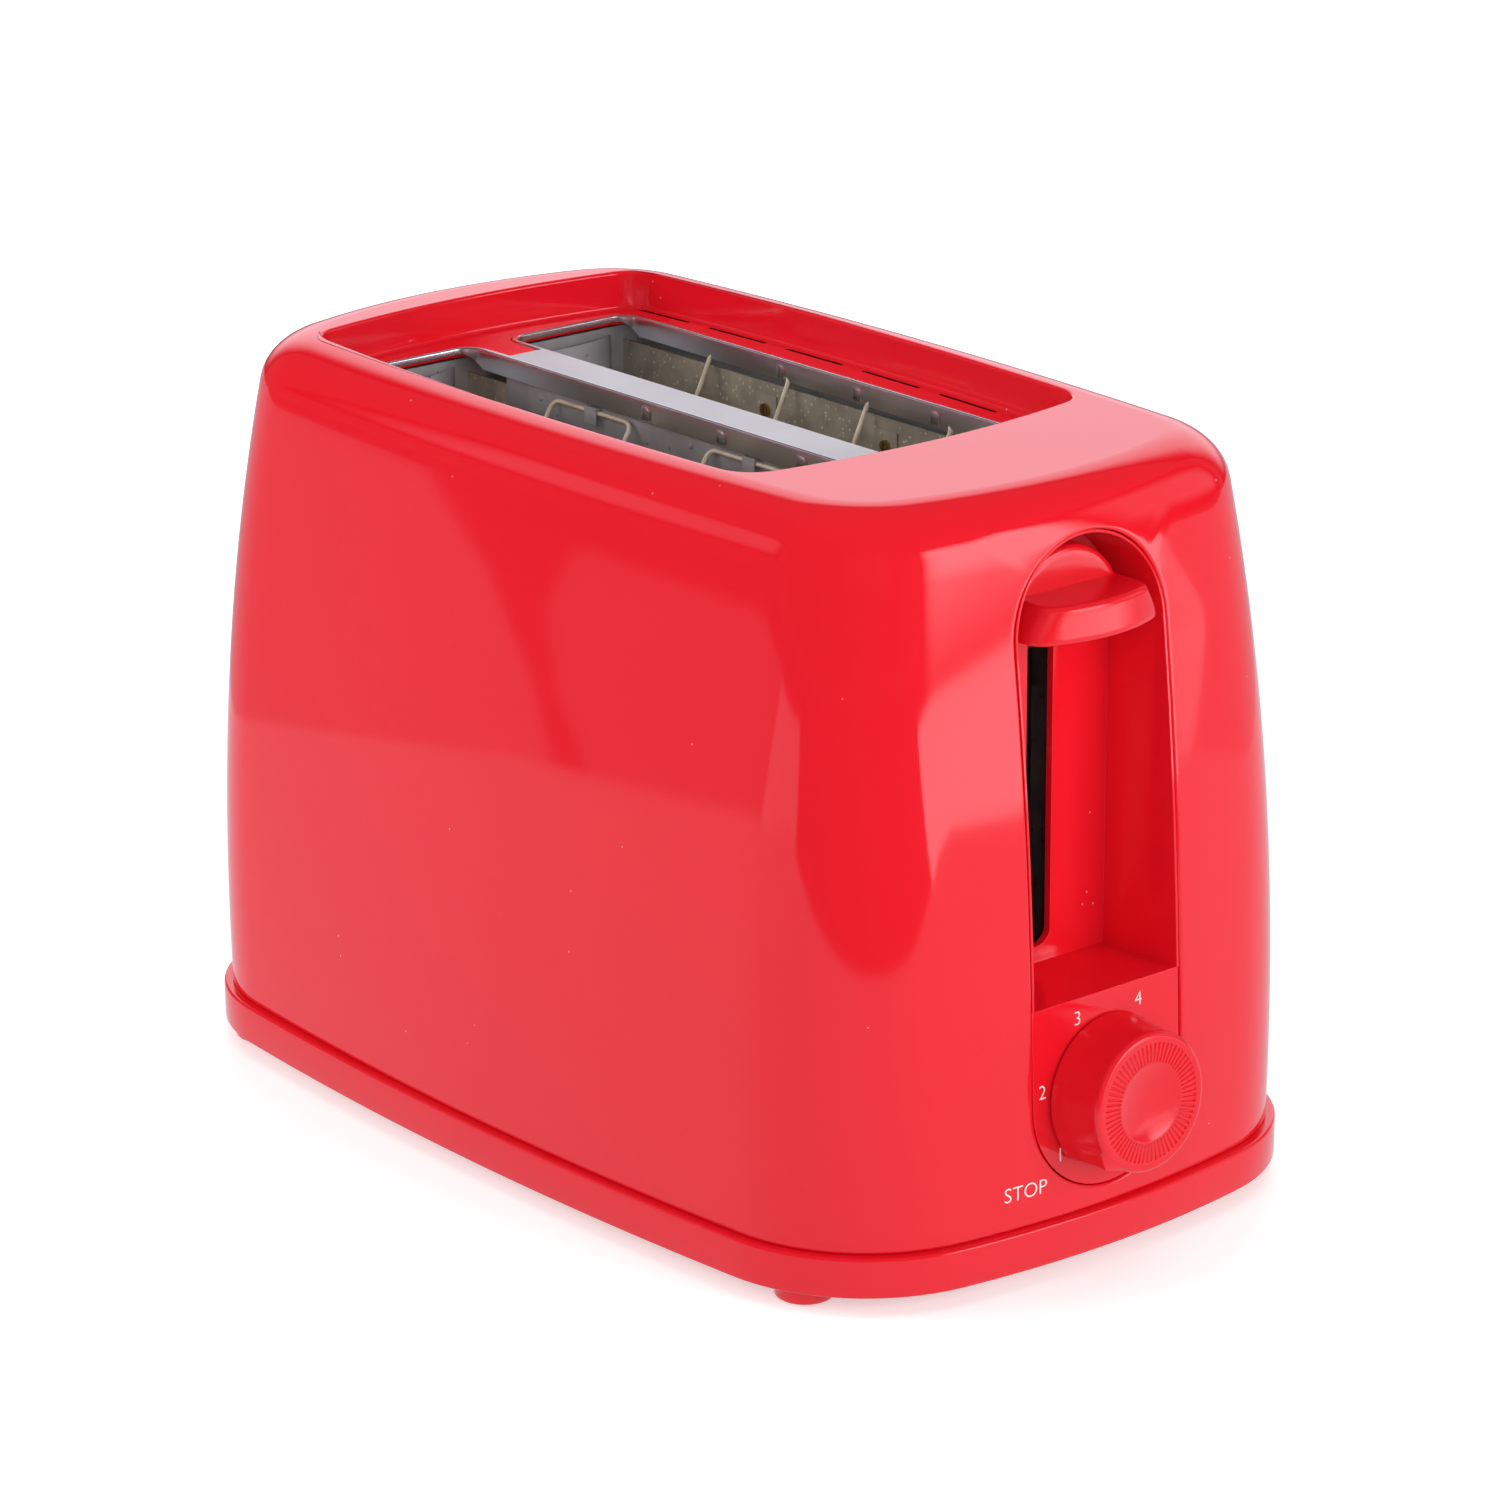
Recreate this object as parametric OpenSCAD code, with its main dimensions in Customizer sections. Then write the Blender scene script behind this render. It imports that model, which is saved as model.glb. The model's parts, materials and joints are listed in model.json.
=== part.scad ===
// Two-slot pop-up toaster. Millimetres, +Z up, +X to the lever end, table at z = 0.
// The body's own centre is at x = 0 inside at_body(), which moves it so that the
// origin is under the middle of the whole toaster, knob included.

/* [Body] */
// Length of the body at the seam with the base
body_l = 274.8; // [228:0.2:330]
// Width of the body at the seam with the base
body_w = 165.8; // [138:0.2:200]
// Height from the table to the top deck
body_h = 185; // [154:0.5:222]
// How far each end leans in from the seam to the deck
end_taper = 12.6; // [6:0.2:16]
// How far each side leans in from the seam to the deck
side_taper = 14.9; // [6:0.2:18]
// How late the lean comes on: 1 is straight, more is rounder
taper_curve = 2.19; // [1:0.01:3]
// Rise of the curved ends in plan, at the seam
end_bow = 13.6; // [8:0.2:18]
// Rise of the curved sides in plan, at the seam
side_bow = 9.2; // [5:0.2:12]
// Rise of the curved ends in plan, at the deck
top_end_bow = 13.2; // [8:0.2:16]
// Rise of the curved sides in plan, at the deck
top_side_bow = 6.2; // [4:0.2:9]
// Corner radius in plan, at the seam
corner_r = 41.5; // [34:0.5:48]
// Corner radius in plan, at the deck
top_corner_r = 29.4; // [24:0.5:36]
// Radius of the shoulder between wall and deck
shoulder_r = 11.4; // [7:0.2:13]
// Wall of the moulded body
wall = 2.5; // [2:0.1:3.2]

/* [Deck] */
// From the rear edge of the deck to its opening
deck_rear_rim = 19.7; // [16:0.1:24]
// From the front edge of the deck to its opening
deck_front_rim = 50.5; // [46:0.1:60]
// From the side edge of the deck to its opening
deck_side_rim = 12.4; // [11:0.1:14]
// Corner radius of the deck opening
deck_corner_r = 10; // [8:0.5:12]
// Depth of the sunk floor around the slots
deck_depth = 10; // [8:0.2:13]
// Width of the strip between the two slots
bar_w = 12.7; // [10.6:0.1:15.2]
// From a slot's outer edge to the wall of the deck opening
slot_side_gap = 11.1; // [10:0.1:13]
// From a slot's rear end to the rear of the deck opening
slot_rear_gap = 10.2; // [9:0.1:13]
// From a slot's front end to the front of the deck opening
slot_front_gap = 10.3; // [9:0.1:13]
// Corner radius of a bread slot
slot_corner_r = 5; // [3:0.5:6]
// Bright rim around each bread slot
slot_rim = 1.6; // [1.4:0.1:2]
// Depth of the folded skirt inside each slot
skirt_depth = 6; // [5:0.2:8]
// Length of one air slit in the sunk floor
vent_l = 21.5; // [16:0.5:24]
// Width of one air slit
vent_w = 1.1; // [1:0.1:1.6]
// Spacing of the air slits
vent_pitch = 29.2; // [26:0.2:35]
// From the ends of the deck opening to the rows of air slits, at least
vent_margin = 5; // [4:0.5:8]

/* [Base] */
// Height of the feet
foot_h = 4; // [3.4:0.2:5]
// Radius of a foot
foot_r = 7.3; // [6:0.1:9]
// From the middle out to each foot along the body
foot_inset_x = 32; // [28:0.5:39]
// From the side in to each foot
foot_inset_y = 17; // [16:0.5:21]
// Height of the base band
band_h = 10; // [9:0.5:12]
// How far the base band stands out from the body
band_lip = 2.1; // [1.6:0.1:2.6]
// Thickness of the base floor
floor_t = 2.5; // [2:0.1:3]

/* [Front panel] */
// Width of the arched front panel
panel_w = 46.8; // [39:0.2:57]
// Height of the dial's centre
dial_z = 42.1; // [40:0.1:46]
// Backward lean of the dial face in degrees
dial_lean = 2.4; // [0:0.1:4]
// Height of the shelf above the dial
shelf_z = 66; // [64:0.2:72]
// From the deck down to the top of the arch
arch_drop = 10.6; // [10.6:0.2:16]
// Depth of the lever recess behind the front
recess_depth = 24; // [20:0.5:28]
// Wall of the front panel
panel_wall = 2; // [1.6:0.1:2.4]
// Width of the lever slot
lever_slot_w = 8; // [6.8:0.2:10]
// Radial gap between the panel and its window
panel_gap = 0.25; // [0.2:0.05:0.5]

/* [Knob] */
// Radius of the knob at its face
knob_r = 16.9; // [14:0.1:18]
// Extra radius of the knob at its foot
knob_flare = 1.4; // [1:0.1:1.6]
// Length of the knob
knob_l = 14.5; // [12:0.1:18]
// Gap between the knob and the dial face
knob_gap = 0.4; // [0.4:0.1:1]
// Diameter of the dial shaft
shaft_d = 6; // [5:0.1:7.2]

/* [Lever and carriage] */
// How far above the shelf the lever stops
lever_stop_gap = 7.4; // [6:0.2:12]
// Gap on each side of the lever paddle
paddle_gap = 1.55; // [1:0.05:3]
// Height of the lever paddle's front band
paddle_h = 8.6; // [7:0.2:10]
// How far the paddle stands out past the recess back wall
paddle_reach = 23.6; // [20:0.2:26]
// Thickness of carriage steel
steel_t = 1.5; // [1.2:0.1:1.8]
// Diameter of the guide rod
rod_d = 5; // [4.2:0.1:6]
// Running gap between the guide rod and the carriage bush
run_gap = 0.05; // [0.02:0.01:0.1]
// Height of the bread rack above the table when the lever is down
rack_low = 30; // [28:0.5:34]
// Depth of the bread rack strip
rack_h = 8; // [6.8:0.2:9.6]
// Half the width of the bread rack's cross wires
rack_reach = 8.5; // [7:0.5:9]
// Spacing of the bread rack's cross wires
rack_pitch = 19; // [16:0.5:23]

/* [Heating] */
// Thickness of the steel end plates
plate_t = 1; // [0.8:0.1:1.2]
// Thickness of the mica cards
mica_t = 0.8; // [0.7:0.1:1]
// From a slot's edge back to its mica card
mica_setback = 1.6; // [1.4:0.1:2]
// From a slot's outer edge to the steel heat shield
shield_setback = 6; // [5:0.2:7]
// Width of the heating ribbon
ribbon_w = 1.6; // [1.4:0.1:2]
// Rows of ribbon on each card
ribbon_rows = 10; // [6:1:12]
// Diameter of the guard wires
wire_d = 1.3; // [1.1:0.1:1.6]
// Distance between the two legs of a guard wire
guard_leg = 31; // [26:0.5:34]
// Spacing of the guard wires
guard_pitch = 61; // [50:0.5:66]
// From the ends of a slot to the nearest guard wire, at least
guard_margin = 10; // [5:0.5:14]
// How far the guard wires stand into the slot
guard_reach = 7; // [5.8:0.2:8]

/* [Crumb tray] */
// Width of the crumb tray
tray_w = 84; // [70:0.2:101]
// Depth of the crumb tray
tray_h = 5.5; // [5:0.1:6.2]
// Thickness of tray steel
tray_t = 0.6; // [0.5:0.1:0.8]
// Clearance around the crumb tray
tray_gap = 0.4; // [0.3:0.05:0.6]

/* [Hidden] */
$fn = 48;

// Heights
seam_z = foot_h + band_h;
base_top = foot_h + floor_t;
floor_z = body_h - deck_depth;
plate_top = floor_z - wall - 1.2;
skirt_z = floor_z - skirt_depth;
arch_r = panel_w / 2;
arch_z = body_h - arch_drop - arch_r;
lever_z = arch_z + 0.4;
travel = lever_z - shelf_z - lever_stop_gap;
rack_z = rack_low + travel;
panel_inner = arch_r - panel_gap - panel_wall;
paddle_w = 2 * (panel_inner - paddle_gap);

// Body in plan
half_l = body_l / 2;
half_w = body_w / 2;
top_half_l = half_l - end_taper;
top_half_w = half_w - side_taper;

// Deck opening and slots
deck_x0 = -top_half_l + deck_rear_rim;
deck_x1 = top_half_l - deck_front_rim;
deck_x = (deck_x0 + deck_x1) / 2;
deck_half_l = (deck_x1 - deck_x0) / 2;
deck_half_w = top_half_w - deck_side_rim;
slot_x0 = deck_x0 + slot_rear_gap;
slot_x1 = deck_x1 - slot_front_gap;
slot_y0 = bar_w / 2;
slot_y1 = deck_half_w - slot_side_gap;
slot_y = (slot_y0 + slot_y1) / 2;
slot_w = slot_y1 - slot_y0;
bar_x0 = slot_x0 + 16;
skirt_t = 0.8;
vent_count = floor((2 * (deck_half_l - vent_margin) - vent_l) / vent_pitch) + 1;
vent_inset = 2.7;
deck_end_bow = 6.6;
deck_side_bow = 3.5;
guard_count = floor((slot_x1 - slot_x0 - 2 * guard_margin - guard_leg) / guard_pitch) + 1;

// Toasting chamber
chamber_x0 = slot_x0 - slot_rim - 2;
chamber_x1 = slot_x1 + slot_rim + 2;
outer_card_y = slot_y1 + mica_setback;
inner_card_y = slot_y0 - mica_setback - mica_t;
shield_y = slot_y1 + shield_setback;
card_z0 = rack_low - 4;
card_z1 = skirt_z - 1.5;

// Front panel and dial; edge_drop is how far the bowed end falls back by the panel's edges
edge_drop = arch_r * arch_r / ((half_w * half_w + end_bow * end_bow) / end_bow);
recess_x = front_x(shelf_z) - edge_drop - recess_depth;
dial_x = front_x(dial_z) - edge_drop - 0.3;
panel_x0 = recess_x - panel_wall;
knob_foot_x = dial_x + knob_gap;
shelf_t = 2;

// Carriage
rod_x = chamber_x1 + 20;
rod_y = 16;
spring_y = -13;
bush_r = rod_d / 2 + 2.2;
bush_h = 18;
carriage_x = chamber_x1 + 8;
bracket_z = card_z1;
keeper_x = rod_x + 3;
keeper_z = rack_z;
magnet_top = rack_low - 0.4;
arm_t = 2;

// Circuit board and potentiometer, along the leaning dial axis from the dial face
board_s = -18;
board_t = 1.6;
board_w = 2 * panel_inner - 4.3;
board_h = board_w - 6;
board_cut = 11;
hole_x = board_h / 2 - 5;
hole_y = board_w / 2 - 5;
pot_r = 8;
pot_l = 7;
shaft_hole_r = shaft_d / 2 + 0.6;

// Tray
tray_l = half_l + chamber_x1 - 6;
tray_z = base_top + tray_gap;

// Whole toaster: the front extreme is the knob's lower edge, the rear one the base band
toaster_front = dial_x + (knob_gap + knob_l) * cos(dial_lean) + knob_r * sin(dial_lean);
toaster_rear = half_l + band_lip;
body_x = (toaster_rear - toaster_front) / 2;

// How much of the taper has come on at height z
function lean(z) = pow(max(0, z - seam_z) / (body_h - seam_z), taper_curve);
// Middle of the front end at height z
function front_x(z) = half_l - end_taper * lean(z);

// One corner of the plan outline: an end arc, a corner arc and a side arc that meet smoothly
function corner_points(a, b, bow_a, bow_b, r) =
    let (ra = (b * b + bow_a * bow_a) / (2 * bow_a), rb = (a * a + bow_b * bow_b) / (2 * bow_b),
        ca = [a - ra, 0], cb = [0, b - rb], line = cb - ca, d = norm(line),
        along = ((ra - r) * (ra - r) - (rb - r) * (rb - r) + d * d) / (2 * d),
        off = sqrt((ra - r) * (ra - r) - along * along),
        q = ca + along * line / d + off * [-line[1], line[0]] / d,
        t1 = atan2(q[1] - ca[1], q[0] - ca[0]), t2 = atan2(q[1] - cb[1], q[0] - cb[0]))
    concat([for (i = [0:2]) ca + ra * [cos(t1 * i / 3), sin(t1 * i / 3)]],
        [for (i = [0:6]) let (t = t1 + (t2 - t1) * i / 7) q + r * [cos(t), sin(t)]],
        [for (i = [0:4]) let (t = t2 + (90 - t2) * i / 4) cb + rb * [cos(t), sin(t)]]);

// The whole outline, from one corner mirrored into the other three
function outline(a, b, bow_a, bow_b, r) =
    let (c = corner_points(a, b, bow_a, bow_b, r), n = len(c))
    concat(c, [for (i = [n - 2:-1:0]) [-c[i][0], c[i][1]]],
        [for (i = [1:n - 1]) [-c[i][0], -c[i][1]]],
        [for (i = [n - 2:-1:1]) [c[i][0], -c[i][1]]]);

// The body's outline at height z, moved inward by inset
function body_outline(z, inset) =
    let (k = lean(z), u = (z - seam_z) / (body_h - seam_z))
    outline(half_l - end_taper * k - inset, half_w - side_taper * k - inset,
        end_bow + (top_end_bow - end_bow) * u, side_bow + (top_side_bow - side_bow) * u,
        corner_r + (top_corner_r - corner_r) * u - inset);

// Levels of the body's skin, each [height, inset]: a tall wall, then the shoulder
function skin_levels(inset, z0) =
    let (z1 = body_h - shoulder_r, r = shoulder_r - inset)
    concat([for (i = [0:6]) [z0 + (z1 - z0) * i / 6, inset]],
        [for (i = [1:4]) let (t = 90 * i / 4) [z1 + r * sin(t), inset + r * (1 - cos(t))]]);

// A closed solid through a stack of outlines with equal point counts
module loft(levels) {
    rings = [for (l = levels) [for (p = body_outline(l[0], l[1])) [p[0], p[1], l[0]]]];
    n = len(rings[0]);
    top = (len(rings) - 1) * n;
    polyhedron([for (r = rings) for (p = r) p],
        concat([[for (i = [0:n - 1]) i]], [[for (i = [n - 1:-1:0]) top + i]],
            [for (k = [0:len(rings) - 2]) for (i = [0:n - 1]) let (j = (i + 1) % n)
                [k * n + i, k * n + n + i, k * n + j]],
            [for (k = [0:len(rings) - 2]) for (i = [0:n - 1]) let (j = (i + 1) % n)
                [k * n + j, k * n + n + i, k * n + n + j]]));
}

module at_body() { translate([body_x, 0, 0]) children(); }
module block(x0, x1, y0, y1, z0, z1) { translate([x0, y0, z0]) cube([x1 - x0, y1 - y0, z1 - z0]); }
module along_z(z0, z1) { translate([0, 0, z0]) linear_extrude(z1 - z0) children(); }
// 2D x becomes Y and 2D y becomes Z
module along_x(x0, x1) { translate([x0, 0, 0]) rotate([90, 0, 90]) linear_extrude(x1 - x0) children(); }
// 2D x becomes X and 2D y becomes Z
module along_y(y0, y1) { translate([0, y1, 0]) rotate([90, 0, 0]) linear_extrude(y1 - y0) children(); }
module post(x, y, r, z0, z1) { translate([x, y, z0]) cylinder(h = z1 - z0, r = r); }
// Turns the dial's own axis, from its face, to local +Z
module at_dial() { translate([dial_x, 0, dial_z]) rotate([0, 90 - dial_lean, 0]) children(); }
// A round bar from one point to another
module bar(p, q, d) {
    v = q - p;
    translate(p) rotate([0, acos(v[2] / norm(v)), atan2(v[1], v[0])]) cylinder(h = norm(v), d = d, $fn = 24);
}
module flat_outline(z, inset) { polygon(body_outline(z, inset)); }
module rounded(x0, x1, y0, y1, r) {
    for (x = [x0 + r, x1 - r], y = [y0 + r, y1 - r]) translate([x, y]) circle(r);
    translate([x0 + r, y0]) square([x1 - x0 - 2 * r, y1 - y0]);
    translate([x0, y0 + r]) square([x1 - x0, y1 - y0 - 2 * r]);
}
// One bread slot in plan, grown by grow; side is -1 for the near slot and 1 for the far one
module slot_plan(side, grow) {
    translate([0, side < 0 ? -2 * slot_y : 0])
        rounded(slot_x0 - grow, slot_x1 + grow, slot_y0 - grow, slot_y1 + grow, slot_corner_r + grow);
}
// The hole in the sunk floor: both slots and the strip between them
module window_plan(grow) {
    for (side = [-1, 1]) slot_plan(side, grow);
    translate([bar_x0 - grow, -slot_y]) square([slot_x1 - bar_x0 - slot_corner_r + grow, 2 * slot_y]);
}
// The panel's arched outline in the YZ plane
module arch_plan(inset) {
    for (z = [dial_z, arch_z]) translate([0, z]) circle(arch_r - inset);
    translate([-(arch_r - inset), dial_z]) square([2 * (arch_r - inset), arch_z - dial_z]);
}
module deck_plan(grow) {
    translate([deck_x, 0]) polygon(outline(deck_half_l + grow, deck_half_w + grow, deck_end_bow,
        deck_side_bow, deck_corner_r + grow));
}

// Places shared by the base and the housing
boss_x = half_l - 45;
boss_y = half_w - 17;
foot_x = half_l - foot_inset_x + band_lip;
foot_y = half_w - foot_inset_y + band_lip;
screw_r = 1.6;
boss_r = 4.5;
boss_z = base_top + 3.5;
gland_x = -half_l + 66;
gland_y = half_w - 20.5;
gland_r = 6;
cord_r = 3.4;

module housing() {
    color("crimson") at_body() difference() {
        loft(skin_levels(0, seam_z));
        difference() {
            loft(concat([[seam_z - 1, wall]], skin_levels(wall, seam_z)));
            along_z(floor_z - wall, body_h) deck_plan(wall);
            for (x = [-boss_x, boss_x], y = [-1, 1]) {
                post(x, y * boss_y, boss_r, boss_z, boss_z + 22);
                block(x - 1, x + 1, min(y * boss_y, y * half_w), max(y * boss_y, y * half_w),
                    seam_z + 3.3, boss_z + 22);
            }
        }
        along_z(floor_z, body_h + 1) deck_plan(0);
        along_z(floor_z - wall - 1, floor_z + 1) window_plan(slot_rim + 0.25);
        for (i = [0:vent_count - 1], y = [-1, 1]) {
            along = (i - (vent_count - 1) / 2) * vent_pitch;
            bow = deck_side_bow / (deck_half_l * deck_half_l);
            translate([deck_x + along, y * (deck_half_w - vent_inset - bow * along * along), floor_z - wall / 2])
                rotate(-y * atan(2 * bow * along)) cube([vent_l, vent_w, 2 * wall], center = true);
        }
        along_x(recess_x, half_l + 1) arch_plan(0);
        for (x = [-boss_x, boss_x], y = [-boss_y, boss_y]) post(x, y, screw_r, boss_z - 1, boss_z + 14);
    }
}

module base() {
    rail_x1 = chamber_x1 + 2;
    tray_half = tray_w / 2 + tray_gap;
    color("crimson") at_body() difference() {
        union() {
            difference() {
                union() {
                    along_z(foot_h, foot_h + 1.2) flat_outline(seam_z, 0.8 - band_lip);
                    along_z(foot_h + 1.2, seam_z) flat_outline(seam_z, -band_lip);
                    along_z(seam_z - 1, seam_z + 3) flat_outline(seam_z, wall + 0.3);
                }
                along_z(base_top, seam_z + 4) flat_outline(seam_z, wall + 2);
            }
            for (x = [-foot_x, foot_x], y = [-foot_y, foot_y]) post(x, y, foot_r, 0, base_top);
            for (x = [-boss_x, boss_x], y = [-boss_y, boss_y]) post(x, y, boss_r, foot_h, boss_z);
            for (y = [-1, 1]) scale([1, y, 1]) {
                block(-half_l + 8, rail_x1, tray_half, tray_half + 2, foot_h, tray_z + tray_h + 1);
                block(-half_l + 24, rail_x1, tray_half - 3, tray_half + 2,
                    tray_z + tray_h + tray_gap, tray_z + tray_h + tray_gap + 1.6);
            }
            post(rod_x, rod_y, rod_d / 2 + 2.5, foot_h, base_top + 6);
            post(gland_x, gland_y, gland_r + 3, foot_h, base_top + 2);
        }
        block(-half_l - 10, -half_l + 12, -tray_half, tray_half, base_top, tray_z + tray_h + tray_gap);
        post(rod_x, rod_y, rod_d / 2, foot_h + 1, base_top + 7);
        post(gland_x, gland_y, gland_r, foot_h - 1, base_top + 3);
        for (x = [-boss_x, boss_x], y = [-boss_y, boss_y]) {
            post(x, y, screw_r + 0.4, foot_h - 1, boss_z + 1);
            post(x, y, 3.2, foot_h - 1, foot_h + 2);
        }
        for (i = [-3:4], y = [-1, 1])
            translate([i * 16, y * (tray_half + 10), foot_h]) cube([2.5, 11, 4 * floor_t], center = true);
    }
}

module control_panel() {
    face = [for (i = [0:12]) let (z = shelf_z + (arch_z + arch_r - shelf_z) * i / 12) [front_x(z) - edge_drop - 0.3, z]];
    low = dial_z - arch_r - 1;
    slope = tan(dial_lean);
    color("crimson") at_body() {
        difference() {
            intersection() {
                along_x(panel_x0, half_l + 2) arch_plan(panel_gap);
                along_y(-arch_r, arch_r) polygon(concat([[panel_x0, low],
                    [dial_x + (dial_z - low) * slope, low], [dial_x - (shelf_z - dial_z) * slope, shelf_z]],
                    face, [[panel_x0, arch_z + arch_r]]));
            }
            // lever recess above the shelf
            intersection() {
                along_x(recess_x, half_l + 3) arch_plan(arch_r - panel_inner);
                block(recess_x, half_l + 3, -arch_r, arch_r, shelf_z, body_h);
            }
            // hollow behind the dial face
            intersection() {
                along_x(panel_x0 - 1, half_l) arch_plan(arch_r - panel_inner);
                along_y(-arch_r, arch_r) polygon([[panel_x0 - 1, low],
                    [dial_x - panel_wall + (dial_z - low) * slope, low],
                    [dial_x - panel_wall - (shelf_z - shelf_t - dial_z) * slope, shelf_z - shelf_t],
                    [panel_x0 - 1, shelf_z - shelf_t]]);
            }
            // lever slot in the back wall
            along_x(panel_x0 - 1, recess_x + 1) {
                for (z = [shelf_z + 4 + lever_slot_w / 2, lever_z + 16]) translate([0, z]) circle(d = lever_slot_w);
                translate([-lever_slot_w / 2, shelf_z + 4 + lever_slot_w / 2])
                    square([lever_slot_w, lever_z + 12 - shelf_z - lever_slot_w / 2]);
            }
            at_dial() translate([0, 0, -5]) cylinder(h = 10, r = shaft_hole_r);
        }
        // two lugs down to the base floor, and four board posts
        for (y = [-1, 1]) block(recess_x, recess_x + 8, y * 9 - 3, y * 9 + 3, base_top, dial_z - arch_r + 5);
        at_dial() for (x = [-hole_x, hole_x], y = [-hole_y, hole_y])
            translate([x, y, board_s]) difference() {
                cylinder(h = -board_s - 1, r = 2.5);
                translate([0, 0, -1]) cylinder(h = 9, r = 1);
            }
    }
}

module slot_frame() {
    color("gainsboro") at_body() difference() {
        union() {
            along_z(plate_top, floor_z - wall) for (side = [-1, 1]) slot_plan(side, slot_rim + 5);
            along_z(plate_top, floor_z) window_plan(slot_rim);
            for (side = [-1, 1]) along_z(skirt_z, floor_z) slot_plan(side, skirt_t);
        }
        for (side = [-1, 1]) along_z(skirt_z - 1, floor_z + 1) slot_plan(side, 0);
        along_z(plate_top - 1, floor_z - 0.8)
            translate([bar_x0, -slot_y0 + 1]) square([slot_x1 - bar_x0 - 8, bar_w - 2]);
    }
}

// An end plate across the chamber, with the guide slots of the two bread racks
module end_plate(x0) {
    leg_y = tray_w / 2 + tray_gap + 4;
    plate_y = max(shield_y + 3, leg_y + 7);
    difference() {
        union() {
            block(x0, x0 + plate_t, -plate_y, plate_y, seam_z + 1.5, plate_top);
            for (y = [-1, 1]) scale([1, y, 1])
                block(x0, x0 + plate_t, leg_y, plate_y, base_top, seam_z + 2);
        }
        for (side = [-1, 1])
            block(x0 - 1, x0 + plate_t + 1, side * slot_y - 1.2, side * slot_y + 1.2,
                rack_low - 2, rack_z + rack_h + 2);
    }
}
module front_plate() { color("silver") at_body() end_plate(chamber_x1); }
module rear_plate() { color("silver") at_body() end_plate(chamber_x0 - plate_t); }

module heat_shield(side) {
    color("silver") at_body() scale([1, side, 1])
        block(chamber_x0, chamber_x1, shield_y, shield_y + 0.8, seam_z + 2, plate_top);
}

// A mica card, its ribbon on the face that looks at the bread; y0 is the face nearest the middle
module mica(side, y0) {
    color("tan") at_body() scale([1, side, 1]) block(chamber_x0, chamber_x1, y0, y0 + mica_t, card_z0, card_z1);
}
module ribbon(side, y0) {
    x0 = chamber_x0 + 8;
    x1 = chamber_x1 - 8;
    pitch = (card_z1 - card_z0 - 24) / ribbon_rows;
    color("dimgray") at_body() scale([1, side, 1]) along_y(y0, y0 + 0.25)
        for (i = [0:ribbon_rows - 1]) {
            translate([x0, card_z0 + 10 + i * pitch]) square([x1 - x0, ribbon_w]);
            if (i < ribbon_rows - 1)
                translate([i % 2 == 0 ? x1 - ribbon_w : x0, card_z0 + 10 + i * pitch])
                    square([ribbon_w, pitch + ribbon_w]);
        }
}

// Guard wires: upside-down U shapes that lean from the wall into the slot, then hang straight
module guards(side, wall_y, inward) {
    top_z = card_z1 - 1;
    lean_z = top_z - 11;
    in_y = wall_y + inward * guard_reach;
    color("darkkhaki") at_body() scale([1, side, 1])
        for (i = [0:guard_count - 1]) {
            cx = (slot_x0 + slot_x1) / 2 + (i - (guard_count - 1) / 2) * guard_pitch;
            bar([cx - guard_leg / 2, wall_y, top_z], [cx + guard_leg / 2, wall_y, top_z], wire_d);
            for (x = [cx - guard_leg / 2, cx + guard_leg / 2]) {
                translate([x, wall_y, top_z]) sphere(d = wire_d, $fn = 24);
                bar([x, wall_y, top_z], [x, in_y, lean_z], wire_d);
                translate([x, in_y, lean_z]) sphere(d = wire_d, $fn = 24);
                bar([x, in_y, lean_z], [x, in_y, card_z0 + 1], wire_d);
                bar([x, in_y, card_z0 + 1], [x, wall_y, card_z0 + 1], wire_d);
                translate([x, in_y, card_z0 + 1]) sphere(d = wire_d, $fn = 24);
            }
        }
}
inner_guard_y = inner_card_y + mica_t + 0.3 + wire_d / 2;
outer_guard_y = outer_card_y - 0.3 - wire_d / 2;

// A steel strip along the top of an inner card, with a lip that holds the guard wires
module guard_rail(side) {
    color("silver") at_body() scale([1, side, 1])
        block(chamber_x0, chamber_x1, inner_card_y - 0.8, inner_card_y, card_z1 - 9, plate_top);
}

module mica_eyelets() {
    color("goldenrod") at_body() for (side = [-1, 1], x = [-46, 0])
        translate([(slot_x0 + slot_x1) / 2 + x + 21, side * outer_card_y, card_z1 - 7]) rotate([side * 90, 0, 0])
            difference() {
                cylinder(h = 1.2, r = 1.6);
                translate([0, 0, -1]) cylinder(h = 4, r = 0.8);
            }
}

module top_bracket() {
    color("silver") at_body() difference() {
        union() {
            block(chamber_x1 + plate_t, rod_x + 7, spring_y - 7, rod_y + 7, bracket_z, bracket_z + steel_t);
            block(chamber_x1 + plate_t, chamber_x1 + plate_t + steel_t, spring_y - 7, rod_y + 7,
                bracket_z - 10, bracket_z + 1);
        }
        post(rod_x, rod_y, rod_d / 2, bracket_z - 1, bracket_z + 3);
    }
}

module guide_rod() { color("lightgray") at_body() post(rod_x, rod_y, rod_d / 2, foot_h + 1, bracket_z + 3); }

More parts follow.
